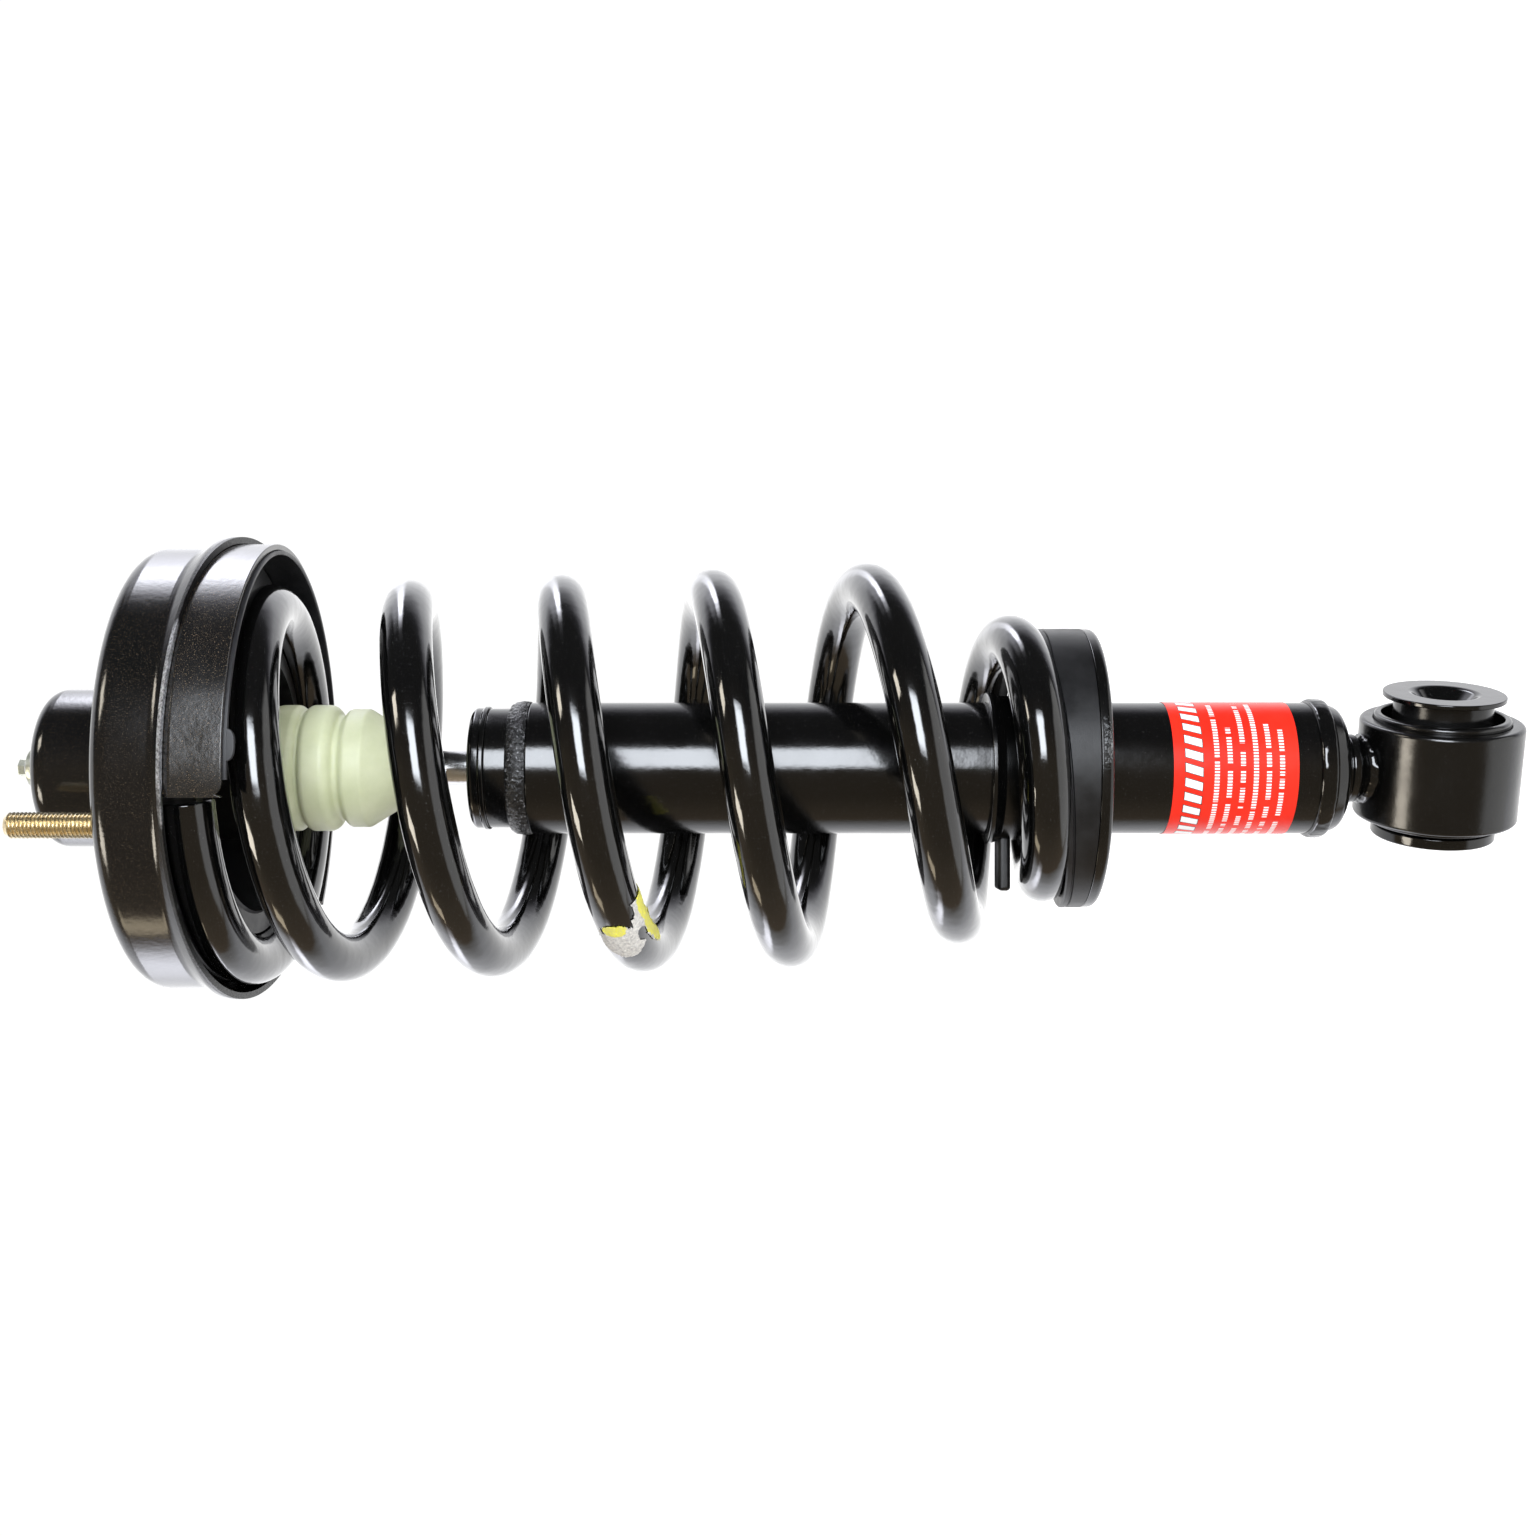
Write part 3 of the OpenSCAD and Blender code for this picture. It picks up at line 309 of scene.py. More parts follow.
def finished(name, bm, materials, body, slot, *nodes, sharp=35):
    """Turns a bmesh into a shown piece that rides on a body and stands for CAD nodes."""
    mesh = bpy.data.meshes.new(name)
    bm.to_mesh(mesh)
    bm.free()
    for material in materials:
        mesh.materials.append(material)
    mesh.shade_smooth()
    mesh.set_sharp_from_angle(angle=math.radians(sharp))
    obj = bpy.data.objects.new(name, mesh)
    bpy.context.scene.collection.objects.link(obj)
    flat = obj.modifiers.new("face_weighted_normals", "WEIGHTED_NORMAL")
    flat.keep_sharp = True
    if body:
        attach(obj, body)
    if nodes:
        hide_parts(*nodes)
    return obj


def add_noise(place, scale, detail, rough=0.5, stretch=None):
    """Noise in features per metre, stretched if the surface is drawn or ground one way."""
    tree = place.id_data
    if stretch:
        place = add_node(tree, "Mapping", {0: place, 3: stretch}).outputs[0]
    inputs = {0: place, 2: scale, 3: detail, 4: rough}
    return add_node(tree, "TexNoise", inputs).outputs[0]


def add_bumps(shader, layers):
    """Stacks bumps of (height field, distance in metres, strength) onto a shader's normal."""
    normal = None
    for field, distance, strength in layers:
        inputs = {"Strength": strength, "Distance": distance, "Height": field}
        if normal:
            inputs["Normal"] = normal
        normal = add_node(shader.id_data, "Bump", inputs).outputs[0]
    feed(shader, "Normal", normal)


def satin_black(name, rough_low, rough_high, fleck, specular=0.55):
    """Satin black dip on sheet steel: orange peel, patches of sheen and a fine warm fleck."""
    material, shader, place = new_finish(name, (0.004, 0.004, 0.0045), 0.2, specular=specular)
    cloud = add_noise(place, 45, 4.0, 0.6)
    peel = add_noise(place, 520, 2.0, 0.5)
    grain = add_noise(place, 2600, 2.0, 0.6)
    feed(shader, "Roughness", mapped(cloud, 0.3, 0.7, rough_low, rough_high))
    dots = add_ramp(grain, [(0.0, (0.002, 0.002, 0.0022)), (0.60, (0.004, 0.004, 0.004)),
                            (0.72, (fleck, fleck * 0.72, fleck * 0.45))])
    feed(shader, "Base Color", dots)
    add_bumps(shader, [(cloud, 0.0004, 0.25), (peel, 0.00012, 0.35), (grain, 0.00003, 0.4)])
    return material


pan_black = satin_black("pan_dip_black", 0.09, 0.17, 0.06)
sheared_edge, shader, place = new_finish("sheared_edge", (0.30, 0.29, 0.27), 0.35, metallic=0.6)
drag = add_noise(place, 900, 3.0, 0.6)
patches = add_noise(place, 55, 2.0, 0.6)
# Painted glint: bright bare-steel spots on the sheared edge, gathered round one side; elsewhere the
# edge is painted near black.
edge_glint_side = 26
edge_glint_facing = mapped(facing_of(place, outward(edge_glint_side)), 0.0815, 0.0870, 0.25, 0.75)
edge_glint_mask = mapped(calc("ADD", patches, edge_glint_facing), 0.90, 1.10)
steel = add_ramp(drag, [(0.35, (0.12, 0.12, 0.12)), (0.65, (0.62, 0.63, 0.66))])
feed(shader, "Base Color", mixed(edge_glint_mask, (0.01, 0.01, 0.01, 1), steel))
add_bumps(shader, [(drag, 0.0003, 0.8)])

pan_r = 88.5
pan_t = 2.6
pan_corner = 8.5
pan_hole_r = 31.85
lip_r = 92.9
flare_start = -24.5
flare_end = -31.0
untrimmed = -60
lip_depth = -37.4
lip_tilt = math.tan(math.radians(5.5))
lip_rounding = 0.5
edge_band_width = 1.7

pan = turned([(pan_hole_r, 0, 0.5), (pan_r, 0, pan_corner), (pan_r, flare_start, 6),
              (lip_r, flare_end, 6), (lip_r, untrimmed), (lip_r - pan_t, untrimmed),
              (lip_r - pan_t, flare_end, 6), (pan_r - pan_t, flare_start, 6),
              (pan_r - pan_t, -pan_t, pan_corner - pan_t), (pan_hole_r, -pan_t, 0.5)],
             steps=192, arc_steps=6)
trim_way = (toward * lip_tilt - Vector((0, 0, 1))).normalized()
trim = cut_across(pan, lip_depth, trim_way, clear=True)["geom_cut"]
bmesh.ops.bridge_loops(pan, edges=[e for e in trim if isinstance(e, bmesh.types.BMEdge)])
rim_edges = [e for e in trim if isinstance(e, bmesh.types.BMEdge) and e.is_valid]
rounded(pan, rim_edges, lip_rounding, 3)
cut_across(pan, lip_depth + edge_band_width, trim_way)
bmesh.ops.recalc_face_normals(pan, faces=pan.faces)
edge_band_start = Vector((0, 0, (lip_depth + edge_band_width) * MM))
for face in pan.faces:
    if (face.calc_center_median() - edge_band_start).dot(trim_way) > 0:
        face.material_index = 1
finished("mount_pan_stamping", pan, [pan_black, sheared_edge], "upper_mount", "black_paint",
         "mount_pan")

# ---- Rod mount can ----
# The drawn can welded on the pan. It holds the rod's bonded rubber, and a large washer
# and a nut on the rod's threaded stem close it.

can_black = satin_black("can_dip_black", 0.10, 0.16, 0.04)
can_r = 31.8
can_h = 43.1
can_t = 2.5
can_mouth_r = 16
can = turned([(can_r, -pan_t, 0.3), (can_r, can_h, 9), (can_mouth_r, can_h, 0.4),
              (can_mouth_r, can_h - can_t, 0.4), (can_r - can_t, can_h - can_t, 6.5),
              (can_r - can_t, -pan_t, 0.3)], arc_steps=8)
finished("mount_can_shell", can, [can_black], "upper_mount", "black_paint", "mount_can")
washer_bore_r, washer_r = 5.1, 15.5
washer = turned([(washer_bore_r, can_h - can_t, 0.3), (washer_r, can_h - can_t, 0.4),
                 (washer_r, can_h, 0.5), (washer_bore_r, can_h, 0.3)], steps=96)
finished("rod_washer", washer, [can_black], "upper_mount", "black_paint", "upper_washer")


def plated(name, colour, second, roughness, scale=260, metallic=1.0):
    """Plated steel: a bright metal that drifts between two colours, with fine tool marks."""
    material, shader, place = new_finish(name, colour, roughness, metallic=metallic)
    drift = add_noise(place, scale, 4.0, 0.6)
    marks = add_noise(place, 2200, 3.0, 0.6)
    feed(shader, "Base Color", add_ramp(drift, [(0.3, colour), (0.7, second)]))
    feed(shader, "Roughness", mapped(marks, 0.3, 0.7, roughness * 0.7, roughness * 1.4))
    add_bumps(shader, [(drift, 0.00008, 0.3), (marks, 0.00003, 0.5)])
    return material


bright_zinc = plated("bright_zinc", (0.42, 0.44, 0.36), (0.58, 0.59, 0.50), 0.30, metallic=0.7)


def hexagon_radius(across_flats, angle):
    """Distance from a hexagon's centre to its side in a direction."""
    sixth = math.pi / 3
    return across_flats / 2 / math.cos((angle + sixth / 2) % sixth - sixth / 2)


nut_h = 9
nut_across_flats = 16
nut_bore_r = 5.15
nut = turned([(nut_bore_r, can_h), (9.1, can_h, 0.3), (9.4, can_h + nut_h * 0.55),
              (8.9, can_h + nut_h * 0.75), (7.2, can_h + nut_h, 0.4),
              (nut_bore_r, can_h + nut_h)], steps=96)
for v in nut.verts:
    reach = v.co.xy.length
    across = hexagon_radius(nut_across_flats * MM, math.atan2(v.co.y, v.co.x))
    if reach > across and v.co.z < (can_h + nut_h * 0.9) * MM:
        v.co.xy *= across / reach
finished("rod_nut_hexagon", nut, [bright_zinc], "upper_mount", "bright_zinc", "rod_nut", sharp=25)

# ---- Body studs ----
# Two M10 x 1.5 studs pressed through the pan from below, yellow zinc plated, with a
# rolled thread and a chamfered tip.

yellow_zinc = plated("yellow_zinc", (0.72, 0.58, 0.34), (0.90, 0.80, 0.58), 0.30, 500)


def add_thread(bm, major_r, pitch, low, high):
    """Rolls a thread into a spun cylinder's rows between two heights, all in millimetres."""
    depth = 0.6 * pitch
    for v in bm.verts:
        z = v.co.z / MM
        if not low < z < high:
            continue
        turn = (z / pitch - math.atan2(v.co.y, v.co.x) / (2 * math.pi)) % 1
        flank = min(1, max(0, abs(turn - 0.5) * 2 * 1.3 - 0.12))
        ends = min(1, (z - low) / pitch, (high - z) / pitch * 2)
        reach = v.co.xy.length
        target = (major_r - depth * flank * ends) * MM
        if reach > target:
            v.co.xy *= target / reach


stud_r = 5.0
stud_pitch = 1.5
stud_len = 40
stud_circle_r = 60
stud_turn = -6
thread_row = stud_pitch / 8
thread_rows = [(stud_r, k * thread_row) for k in range(8, 205)]
for k, side in enumerate((0, 180)):
    stud = turned([(0, -5.6), (8, -5.6, 0.6), (8, -2.6, 0.3), (5.4, -2.6), (5.4, 0), (stud_r, 0.1)]
                  + thread_rows + [(4.85, 38.6), (3.7, stud_len), (0, stud_len)],
                  steps=40, arc_steps=3)
    add_thread(stud, stud_r, stud_pitch, stud_pitch, 39.2)
    bmesh.ops.translate(stud, verts=stud.verts, vec=outward(side + stud_turn) * stud_circle_r * MM)
    finished(f"body_stud_{k + 1}", stud, [yellow_zinc], "upper_mount", "yellow_zinc",
             *(["mount_studs"] if k == 0 else []), sharp=25)

# ---- Spring skirt and its lining ----
# A rolled steel band inside the pan's lip that guards the top coil on three sides. A
# thin rubber lining stands a little past its rim, with one locating tab.

skirt_black = satin_black("skirt_dip_black", 0.15, 0.26, 0.15, specular=0.95)
skirt_r = 90.0
skirt_t = 2.4
skirt_rim = -50.3
skirt_top = -28.5
skirt_first = 8.2
skirt_sweep = 228.8
skirt = turned([(skirt_r, skirt_rim, 0.4), (skirt_r, flare_end, 3), (88.3, skirt_top, 0.3),
                (85.9, skirt_top, 0.3), (skirt_r - skirt_t, flare_end, 3),
                (skirt_r - skirt_t, skirt_rim, 0.4)],
               steps=320, first=skirt_first, sweep=skirt_sweep)
corner_r = 6.0
for v in skirt.verts:
    swept = (math.degrees(math.atan2(v.co.y, v.co.x)) - skirt_first) % 360
    along = swept * math.pi / 180 * skirt_r
    if v.co.z < (skirt_rim + corner_r) * MM and along < corner_r:
        v.co.z += (corner_r - math.sqrt(corner_r ** 2 - (corner_r - along) ** 2)) * MM
finished("spring_skirt_band", skirt, [skirt_black], "upper_mount", "black_paint", "spring_skirt")


def soft_rubber(name, colour, roughness):
    """Moulded rubber: dark grey, faintly dusty, with a fine pebbled skin."""
    material, shader, place = new_finish(name, colour, roughness, specular=0.4)
    dust = add_noise(place, 60, 5.0, 0.65)
    skin = add_noise(place, 1500, 2.0, 0.6)
    light = tuple(c * 1.9 + 0.004 for c in colour)
    feed(shader, "Base Color", add_ramp(dust, [(0.35, colour), (0.75, light)]))
    feed(shader, "Roughness", mapped(dust, 0.3, 0.7, roughness - 0.08, roughness + 0.1))
    add_bumps(shader, [(dust, 0.0003, 0.25), (skin, 0.00005, 0.5)])
    return material


mould_rubber = soft_rubber("moulded_rubber", (0.009, 0.009, 0.010), 0.40)
lining = turned([(87.5, -51.6, 0.5), (87.5, -32, 0.3), (85.8, -32, 0.3), (85.8, -51.6, 0.7)],
                steps=260, first=12.2, sweep=193.8)
tab_first, tab_sweep, tab_rise = 16.5, 8, 3.2
tab = turned([(87.4, -54.3, 0.6), (87.4, -47.3, 0.4), (85.9, -47.3, 0.4), (85.9, -54.3, 0.6)],
             steps=24, first=tab_first, sweep=tab_sweep)
for v in tab.verts:
    aside = math.degrees(math.atan2(v.co.y, v.co.x)) - tab_first - tab_sweep / 2
    off = abs(aside) / (tab_sweep / 2)
    if v.co.z < -50 * MM:
        v.co.z += (1 - math.sqrt(max(0, 1 - off ** 3))) * tab_rise * MM
finished("skirt_lining_rubber", lining, [mould_rubber], "upper_mount", "rubber", "skirt_lining")
finished("skirt_lining_tab", tab, [mould_rubber], "upper_mount", "rubber")

# ---- Coil spring ----
# Cold-wound from 20 mm wire in six and a half right-handed turns, drawn in at the bottom to
# fit the small seat, and coated in gloss black. Its axis leans a little across the strut.

wire_r = 10.0
coil_top = -33.0
coil_turns = 6.5
coil_r = 70.6
coil_end_r = 47.7
coil_start = math.radians(10.8)
draw_first, draw_last = 4.87, 5.80
lean_top, lean_low = -34, -352
axis_top = Vector((0.36, -7.15))
axis_low = Vector((3.82, 5.06))
axis_lean = (axis_low - axis_top) / (lean_low - lean_top)
pitches = [(0, 16.5), (0.315, 15), (1.215, 61), (3.615, 60.5), (4.265, 54), (4.765, 79.5),
           (5.265, 57), (5.515, 42), (5.765, 38), (6.015, 14), (6.265, 10.5), (7, 10.5)]
points_per_turn = 96


def pitch_at(turn):
    """Pitch of the wire at a turn, by straight lines between the winding's settings."""
    for (t0, p0), (t1, p1) in zip(pitches, pitches[1:]):
        if turn <= t1:
            return p0 + (p1 - p0) * (turn - t0) / (t1 - t0)
    return pitches[-1][1]


def wire_line():
    """Points along the middle of the wire from its upper end down, in millimetres."""
    line, z = [], coil_top
    for i in range(round(coil_turns * points_per_turn) + 1):
        turn = i / points_per_turn
        draw_in = min(1, max(0, (turn - draw_first) / (draw_last - draw_first)))
        r = coil_r + (coil_end_r - coil_r) * draw_in * draw_in * (3 - 2 * draw_in)
        angle = coil_start - 2 * math.pi * turn
        arm = Vector((math.cos(angle), math.sin(angle))) * r
        middle = axis_top + axis_lean * (z - lean_top)
        line.append(Vector((*(middle + arm), z - axis_lean.dot(arm))))
        z -= (pitch_at(turn) + pitch_at(turn + 1 / points_per_turn)) / 2 / points_per_turn
    return line


wire = wire_line()
curve = bpy.data.curves.new("spring_wire", "CURVE")
curve.dimensions = "3D"
curve.bevel_depth = wire_r * MM
curve.bevel_resolution = 10
curve.use_fill_caps = True
first_way = (wire[0] - wire[1]).normalized()
last_way = (wire[-1] - wire[-2]).normalized()
cut_end = [(0.02, 0.93), (-0.5, 0.985), (-1.1, 1.0)]
line = [(wire[0] + first_way * past, size) for past, size in cut_end]
line += [(p, 1.0) for p in wire[1:-1]]
line += [(wire[-1] + last_way * past, size) for past, size in reversed(cut_end)]
spline = curve.splines.new("POLY")
spline.points.add(len(line) - 1)
for point, (place, size) in zip(spline.points, line):
    point.co = (*(place * MM), 1)
    point.radius = size
wire_curve = bpy.data.objects.new("spring_wire", curve)
bpy.context.scene.collection.objects.link(wire_curve)
bpy.context.view_layer.update()
drawn_wire = wire_curve.evaluated_get(bpy.context.evaluated_depsgraph_get())
spring_mesh = bpy.data.meshes.new_from_object(drawn_wire)
bpy.data.objects.remove(wire_curve)
spring = bmesh.new()
spring.from_mesh(spring_mesh)
bpy.data.meshes.remove(spring_mesh)
bmesh.ops.remove_doubles(spring, verts=spring.verts, dist=2e-6)
bmesh.ops.recalc_face_normals(spring, faces=spring.faces)

gloss_black, shader, place = new_finish("spring_gloss_black", (0.004, 0.004, 0.0045), 0.10,
                                        coat=0.6, coat_roughness=0.03)
wave = add_noise(place, 70, 2.0, 0.5)
peel = add_noise(place, 420, 2.0, 0.5)
dust = add_noise(place, 3200, 2.0, 0.5)
specks = add_ramp(dust, [(0.0, 0.0012), (0.735, 0.0016), (0.765, 0.25)])
feed(shader, "Base Color", specks)
feed(shader, "Roughness", mapped(wave, 0.3, 0.7, 0.06, 0.16))
add_bumps(shader, [(wave, 0.0012, 0.35), (peel, 0.00008, 0.35)])


def finished_bending(name, bm, materials, slot, *nodes):
    """A piece on no body, lying between the spring's two seats, with its placement baked into its
    mesh.
    """
    obj = finished(name, bm, materials, None, slot, *nodes)
    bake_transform(obj)


finished_bending("coil_spring_wire", spring, [gloss_black], "spring_paint", "coil_spring")

# ---- Torn tag on the wire ----
# The rest of a paper tag, printed yellow, that was wrapped round the wire and pulled off.
# A strip of its print still sticks to one side, and bare crumpled paper to the front.

tag_first, tag_last = 296.3, 305.4
tag_low, tag_high = -72.0, 112.0
tag_shift = 1.44
tag_t = 0.12
tag_lift = 0.22


def on_tag(point):
    """A flat tag point's place along the wire, in its points, and turn round it, in degrees."""
    along, across = (point.x + 1) / 2, (point.y + 1) / 2
    return tag_first + (tag_last - tag_first) * along, tag_low + (tag_high - tag_low) * across


def in_blot(place, turn, middle, half_size, rag):
    """Whether a spot lies in a ragged oval of the tag."""
    along = (place - middle[0]) / half_size[0]
    across = (turn - middle[1]) / half_size[1]
    return along ** 2 + across ** 2 < 1 + rag * 0.3


def tag_state(place, turn):
    """What is left of the tag at a spot on the wire: 0 nothing, 1 print, 2 paper."""
    rag = (noise.noise(Vector((place * 1.3, turn / 11, 4)))
           + 0.6 * noise.noise(Vector((place * 4, turn / 4, 9))))
    strip = (place + rag * 0.4 < 305.2 - abs(turn - 85) / 30
             and turn + rag * 7 > 40 + 2.4 * (place - 299))
    front = in_blot(place + rag * 0.35, turn, (299.9, -16), (1.9, 52), rag)
    web = 297.5 < place + rag * 0.3 < 299.6 and 20 < turn <= 50
    scrap = in_blot(place, turn, (298.2, -22), (0.6, 26), rag)
    hole = in_blot(place, turn, (299.9, 33), (0.8, 14), rag)
    if hole or not (strip or front or web or scrap):
        return 0
    return 1 if scrap or (strip and turn > 50 + rag * 8) else 2


tag = bmesh.new()
bmesh.ops.create_grid(tag, x_segments=90, y_segments=90, size=1)
states = {face: tag_state(*on_tag(face.calc_center_median())) for face in tag.faces}
for face, state in states.items():
    face.material_index = max(0, state - 1)
bmesh.ops.delete(tag, geom=[face for face, state in states.items() if not state], context="FACES")
for v in tag.verts:
    place, turn = on_tag(v.co)
    turn = math.radians(turn)
    k = int(place + tag_shift)
    middle = wire[k].lerp(wire[k + 1], place + tag_shift - k)
    way = (wire[k + 1] - wire[k - 1]).normalized()
    out = (toward * camera_distance + look_at / MM - middle).normalized()
    out = (out - way * out.dot(way)).normalized()
    crumple = max(0, 0.45 * noise.noise(v.co * 9) + 0.25 * noise.noise(v.co * 25))
    arm = out * math.cos(turn) + out.cross(way) * math.sin(turn)
    v.co = (middle + arm * (wire_r + tag_lift + crumple)) * MM
bmesh.ops.recalc_face_normals(tag, faces=tag.faces)
bmesh.ops.solidify(tag, geom=tag.faces[:], thickness=tag_t * MM)


def paper(name, colour, second):
    """Thin torn paper: matt and fibrous, blotched where its glue and print have come away."""
    material, shader, place = new_finish(name, colour, 0.6)
    fibre = add_noise(place, 900, 5.0, 0.75)
    feed(shader, "Base Color", add_ramp(fibre, [(0.35, second), (0.62, colour)]))
    add_bumps(shader, [(fibre, 0.0002, 0.5)])
    return material


tag_print = paper("tag_yellow_print", (0.68, 0.64, 0.04), (0.58, 0.54, 0.16))
tag_paper = paper("tag_bare_paper", (0.62, 0.60, 0.55), (0.30, 0.29, 0.28))
finished_bending("torn_tag", tag, [tag_print, tag_paper], "label_film")

# ---- Rubber seats for the spring ----
# Two moulded rings with a channel that climbs along the end coils. The upper one fills
# the pan, and the lower one sits in the dish and ends in a step at the wire's cut end.

channel_r = wire_r + 0.6
nominal_r = 56.0


def seat_ring(corners, turn_points, widest):
    """Spins a seat from corners of (radius, height, radius share, height share). A corner with a
    share is given from the wire's middle, and follows its radius or height round the seat."""
    bm = bmesh.new()
    shares = bm.verts.layers.float_vector.new("shares")
    verts = []
    for r, z, share_r, share_z in corners:
        verts.append(bm.verts.new(((r + nominal_r * share_r) * MM, 0, z * MM)))
        verts[-1][shares] = (share_r, share_z, 0)
    edges = [bm.edges.new((verts[i - 1], verts[i])) for i in range(len(verts))]
    bmesh.ops.spin(bm, geom=verts + edges, cent=(0, 0, 0), axis=(0, 0, 1), angle=math.tau,
                   steps=240, use_merge=True)
    rows = sorted((math.atan2(p.y, p.x) % math.tau, p.xy.length, p.z) for p in turn_points)
    before, after = rows[-1], rows[0]
    rows = [(before[0] - math.tau, *before[1:]), *rows, (after[0] + math.tau, *after[1:])]
    for v in bm.verts:
        share_r, share_z, _ = v[shares]
        angle = math.atan2(v.co.y, v.co.x) % math.tau
        (a0, r0, z0), (a1, r1, z1) = next((a, b) for a, b in zip(rows, rows[1:]) if angle <= b[0])
        t = (angle - a0) / (a1 - a0)
        v.co.z += (z0 + (z1 - z0) * t) * share_z * MM
        if share_r:
            reach = min(v.co.xy.length / MM - nominal_r + r0 + (r1 - r0) * t, widest)
            v.co.xy *= reach * MM / v.co.xy.length
    bmesh.ops.recalc_face_normals(bm, faces=bm.faces)
    return bm


def channel_arc(first, last):
    """Corners of a channel's round bottom, from one direction to another, in degrees."""
    steps = 14
    turns = [math.radians(first + (last - first) * k / steps) for k in range(steps + 1)]
    return [(channel_r * math.cos(a), channel_r * math.sin(a), 1, 1) for a in turns]


def past_end(point, degrees):
    """A place a little past the wire's cut end, round the strut's axis."""
    return Matrix.Rotation(math.radians(degrees), 3, "Z") @ point


seat_rubber = soft_rubber("seat_rubber", (0.006, 0.006, 0.0065), 0.36)
upper_contact = wire[round(0.5 * points_per_turn)].z
upper_turn = [Vector((p.x, p.y, max(p.z, upper_contact))) for p in wire[:points_per_turn - 4]]
upper_seat = seat_ring([(-19.6, -5.9, 1, 0), (-19.6, -1.0, 1, 1), (-18.6, 0.0, 1, 1)]
                       + channel_arc(180, 42)
                       + [(85.1, 6.6, 0, 1), (85.6, 7.2, 0, 1), (85.6, -5.9, 0, 0),
                          (84.7, -3.8, 0, 0), (82.6, -2.9, 0, 0), (69.6, -2.9, 0, 0),
                          (68.6, -5.9, 0, 0)],
                       [past_end(wire[0], 3)] + upper_turn, widest=85.1)
finished("upper_seat_rubber", upper_seat, [seat_rubber], "upper_mount", "rubber", "upper_isolator")

lower_contact = wire[round(5.85 * points_per_turn)].z
lower_turn = [Vector((p.x, p.y, min(p.z, lower_contact))) for p in wire[4 - points_per_turn:]]
lower_seat = seat_ring([(29.8, -373.7, 0, 0), (29.8, -0.8, 0, 1), (30.5, 0.0, 0, 1)]
                       + channel_arc(-180, -40)
                       + [(55.7, -6.8, 0, 1), (56.3, -7.4, 0, 1), (56.3, -9.0, 0, 1),
                          (55.6, -9.4, 0, 1), (55.6, -9.7, 0, 1), (56.3, -10.1, 0, 1),
                          (56.3, -371.2, 0, 0), (53.2, -371.2, 0, 0), (53.2, -373.7, 0, 0)],
                       lower_turn + [past_end(wire[-1], -3)], widest=55.4)
finished("lower_seat_rubber", lower_seat, [seat_rubber], "strut_body", "rubber", "lower_isolator")

# ---- Bump stop and its cup ----
# A bellows of ivory cellular urethane round the rod, moulded in one piece, whose top is
# pressed in a steel cup under the mount. It shortens when the damper's cap comes up.

ivory, shader, place = new_finish("ivory_urethane", (0.66, 0.68, 0.47), 0.42, specular=0.45)
cells = add_noise(place, 1900, 2.0, 0.6)
shade = add_noise(place, 55, 4.0, 0.6)
urethane = add_ramp(shade, [(0.3, (0.47, 0.50, 0.31)), (0.7, (0.58, 0.60, 0.41))])
feed(shader, "Base Color", urethane)
feed(shader, "Roughness", mapped(shade, 0.3, 0.7, 0.34, 0.50))
shader.inputs["Subsurface Weight"].default_value = 0.25
shader.inputs["Subsurface Radius"].default_value = (0.004, 0.004, 0.0025)
shader.inputs["Subsurface Scale"].default_value = 1.0
add_bumps(shader, [(shade, 0.0005, 0.3), (cells, 0.00005, 0.5)])

bump_bore_r = 7.3
bump_top = -4.4
bump_low = -98.6
bellows = turned([(bump_bore_r, bump_low, 0.5), (15.6, bump_low, 1.4), (23.9, -85.4, 3.2),
                  (23.9, -78.0, 2.6), (19.9, -74.6, 1.6), (25.5, -71.9, 4.6), (25.5, -61.6, 4.6),
                  (21.8, -59.9, 1.4), (25.5, -58.2, 4.6), (25.5, -48.3, 4.6), (20.5, -45.9, 1.6),
                  (20.5, -42.4, 1.4), (25.2, -36.4, 2.4), (25.2, bump_top, 2.0),
                  (bump_bore_r, bump_top, 0.5)], steps=160, arc_steps=8)
bump_stop = finished("bump_stop_bellows", bellows, [ivory], "upper_mount", "ivory_foam",
                     "bump_stop")
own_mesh(bump_stop)


def refinish(material, *nodes):
    """Gives parts that keep their machined shape a finish."""
    for node in nodes:
        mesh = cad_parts[node].data
        mesh.materials.clear()
        mesh.materials.append(material)


inner_black = satin_black("inner_dip_black", 0.30, 0.45, 0.03)
refinish(inner_black, "bump_stop_cup", "lower_washer")

# ---- Rod mount's rubber and sleeve ----
# Natural rubber bonded between the can and a plain steel sleeve. The nut clamps the
# sleeve on the rod's stem, and the rubber lets the rod tilt a little in the can.

refinish(mould_rubber, "mount_rubber")
plain_steel = plated("plain_steel", (0.42, 0.42, 0.42), (0.55, 0.55, 0.56), 0.32, 120)
refinish(plain_steel, "mount_sleeve")

# ---- Piston rod ----
# A 14 mm bar, ground and hard chromed. Its stem is turned down and threaded through the
# mount, and its tip has a small hexagon to hold it while the nut is tightened.

chrome, shader, place = new_finish("ground_chrome", (0.60, 0.60, 0.60), 0.2, metallic=1.0)
grinding = add_noise(place, 1600, 2.0, 0.6, stretch=(0.05, 0.05, 1.0))
feed(shader, "Roughness", mapped(grinding, 0.3, 0.7, 0.15, 0.26))
add_bumps(shader, [(grinding, 0.00001, 0.3)])

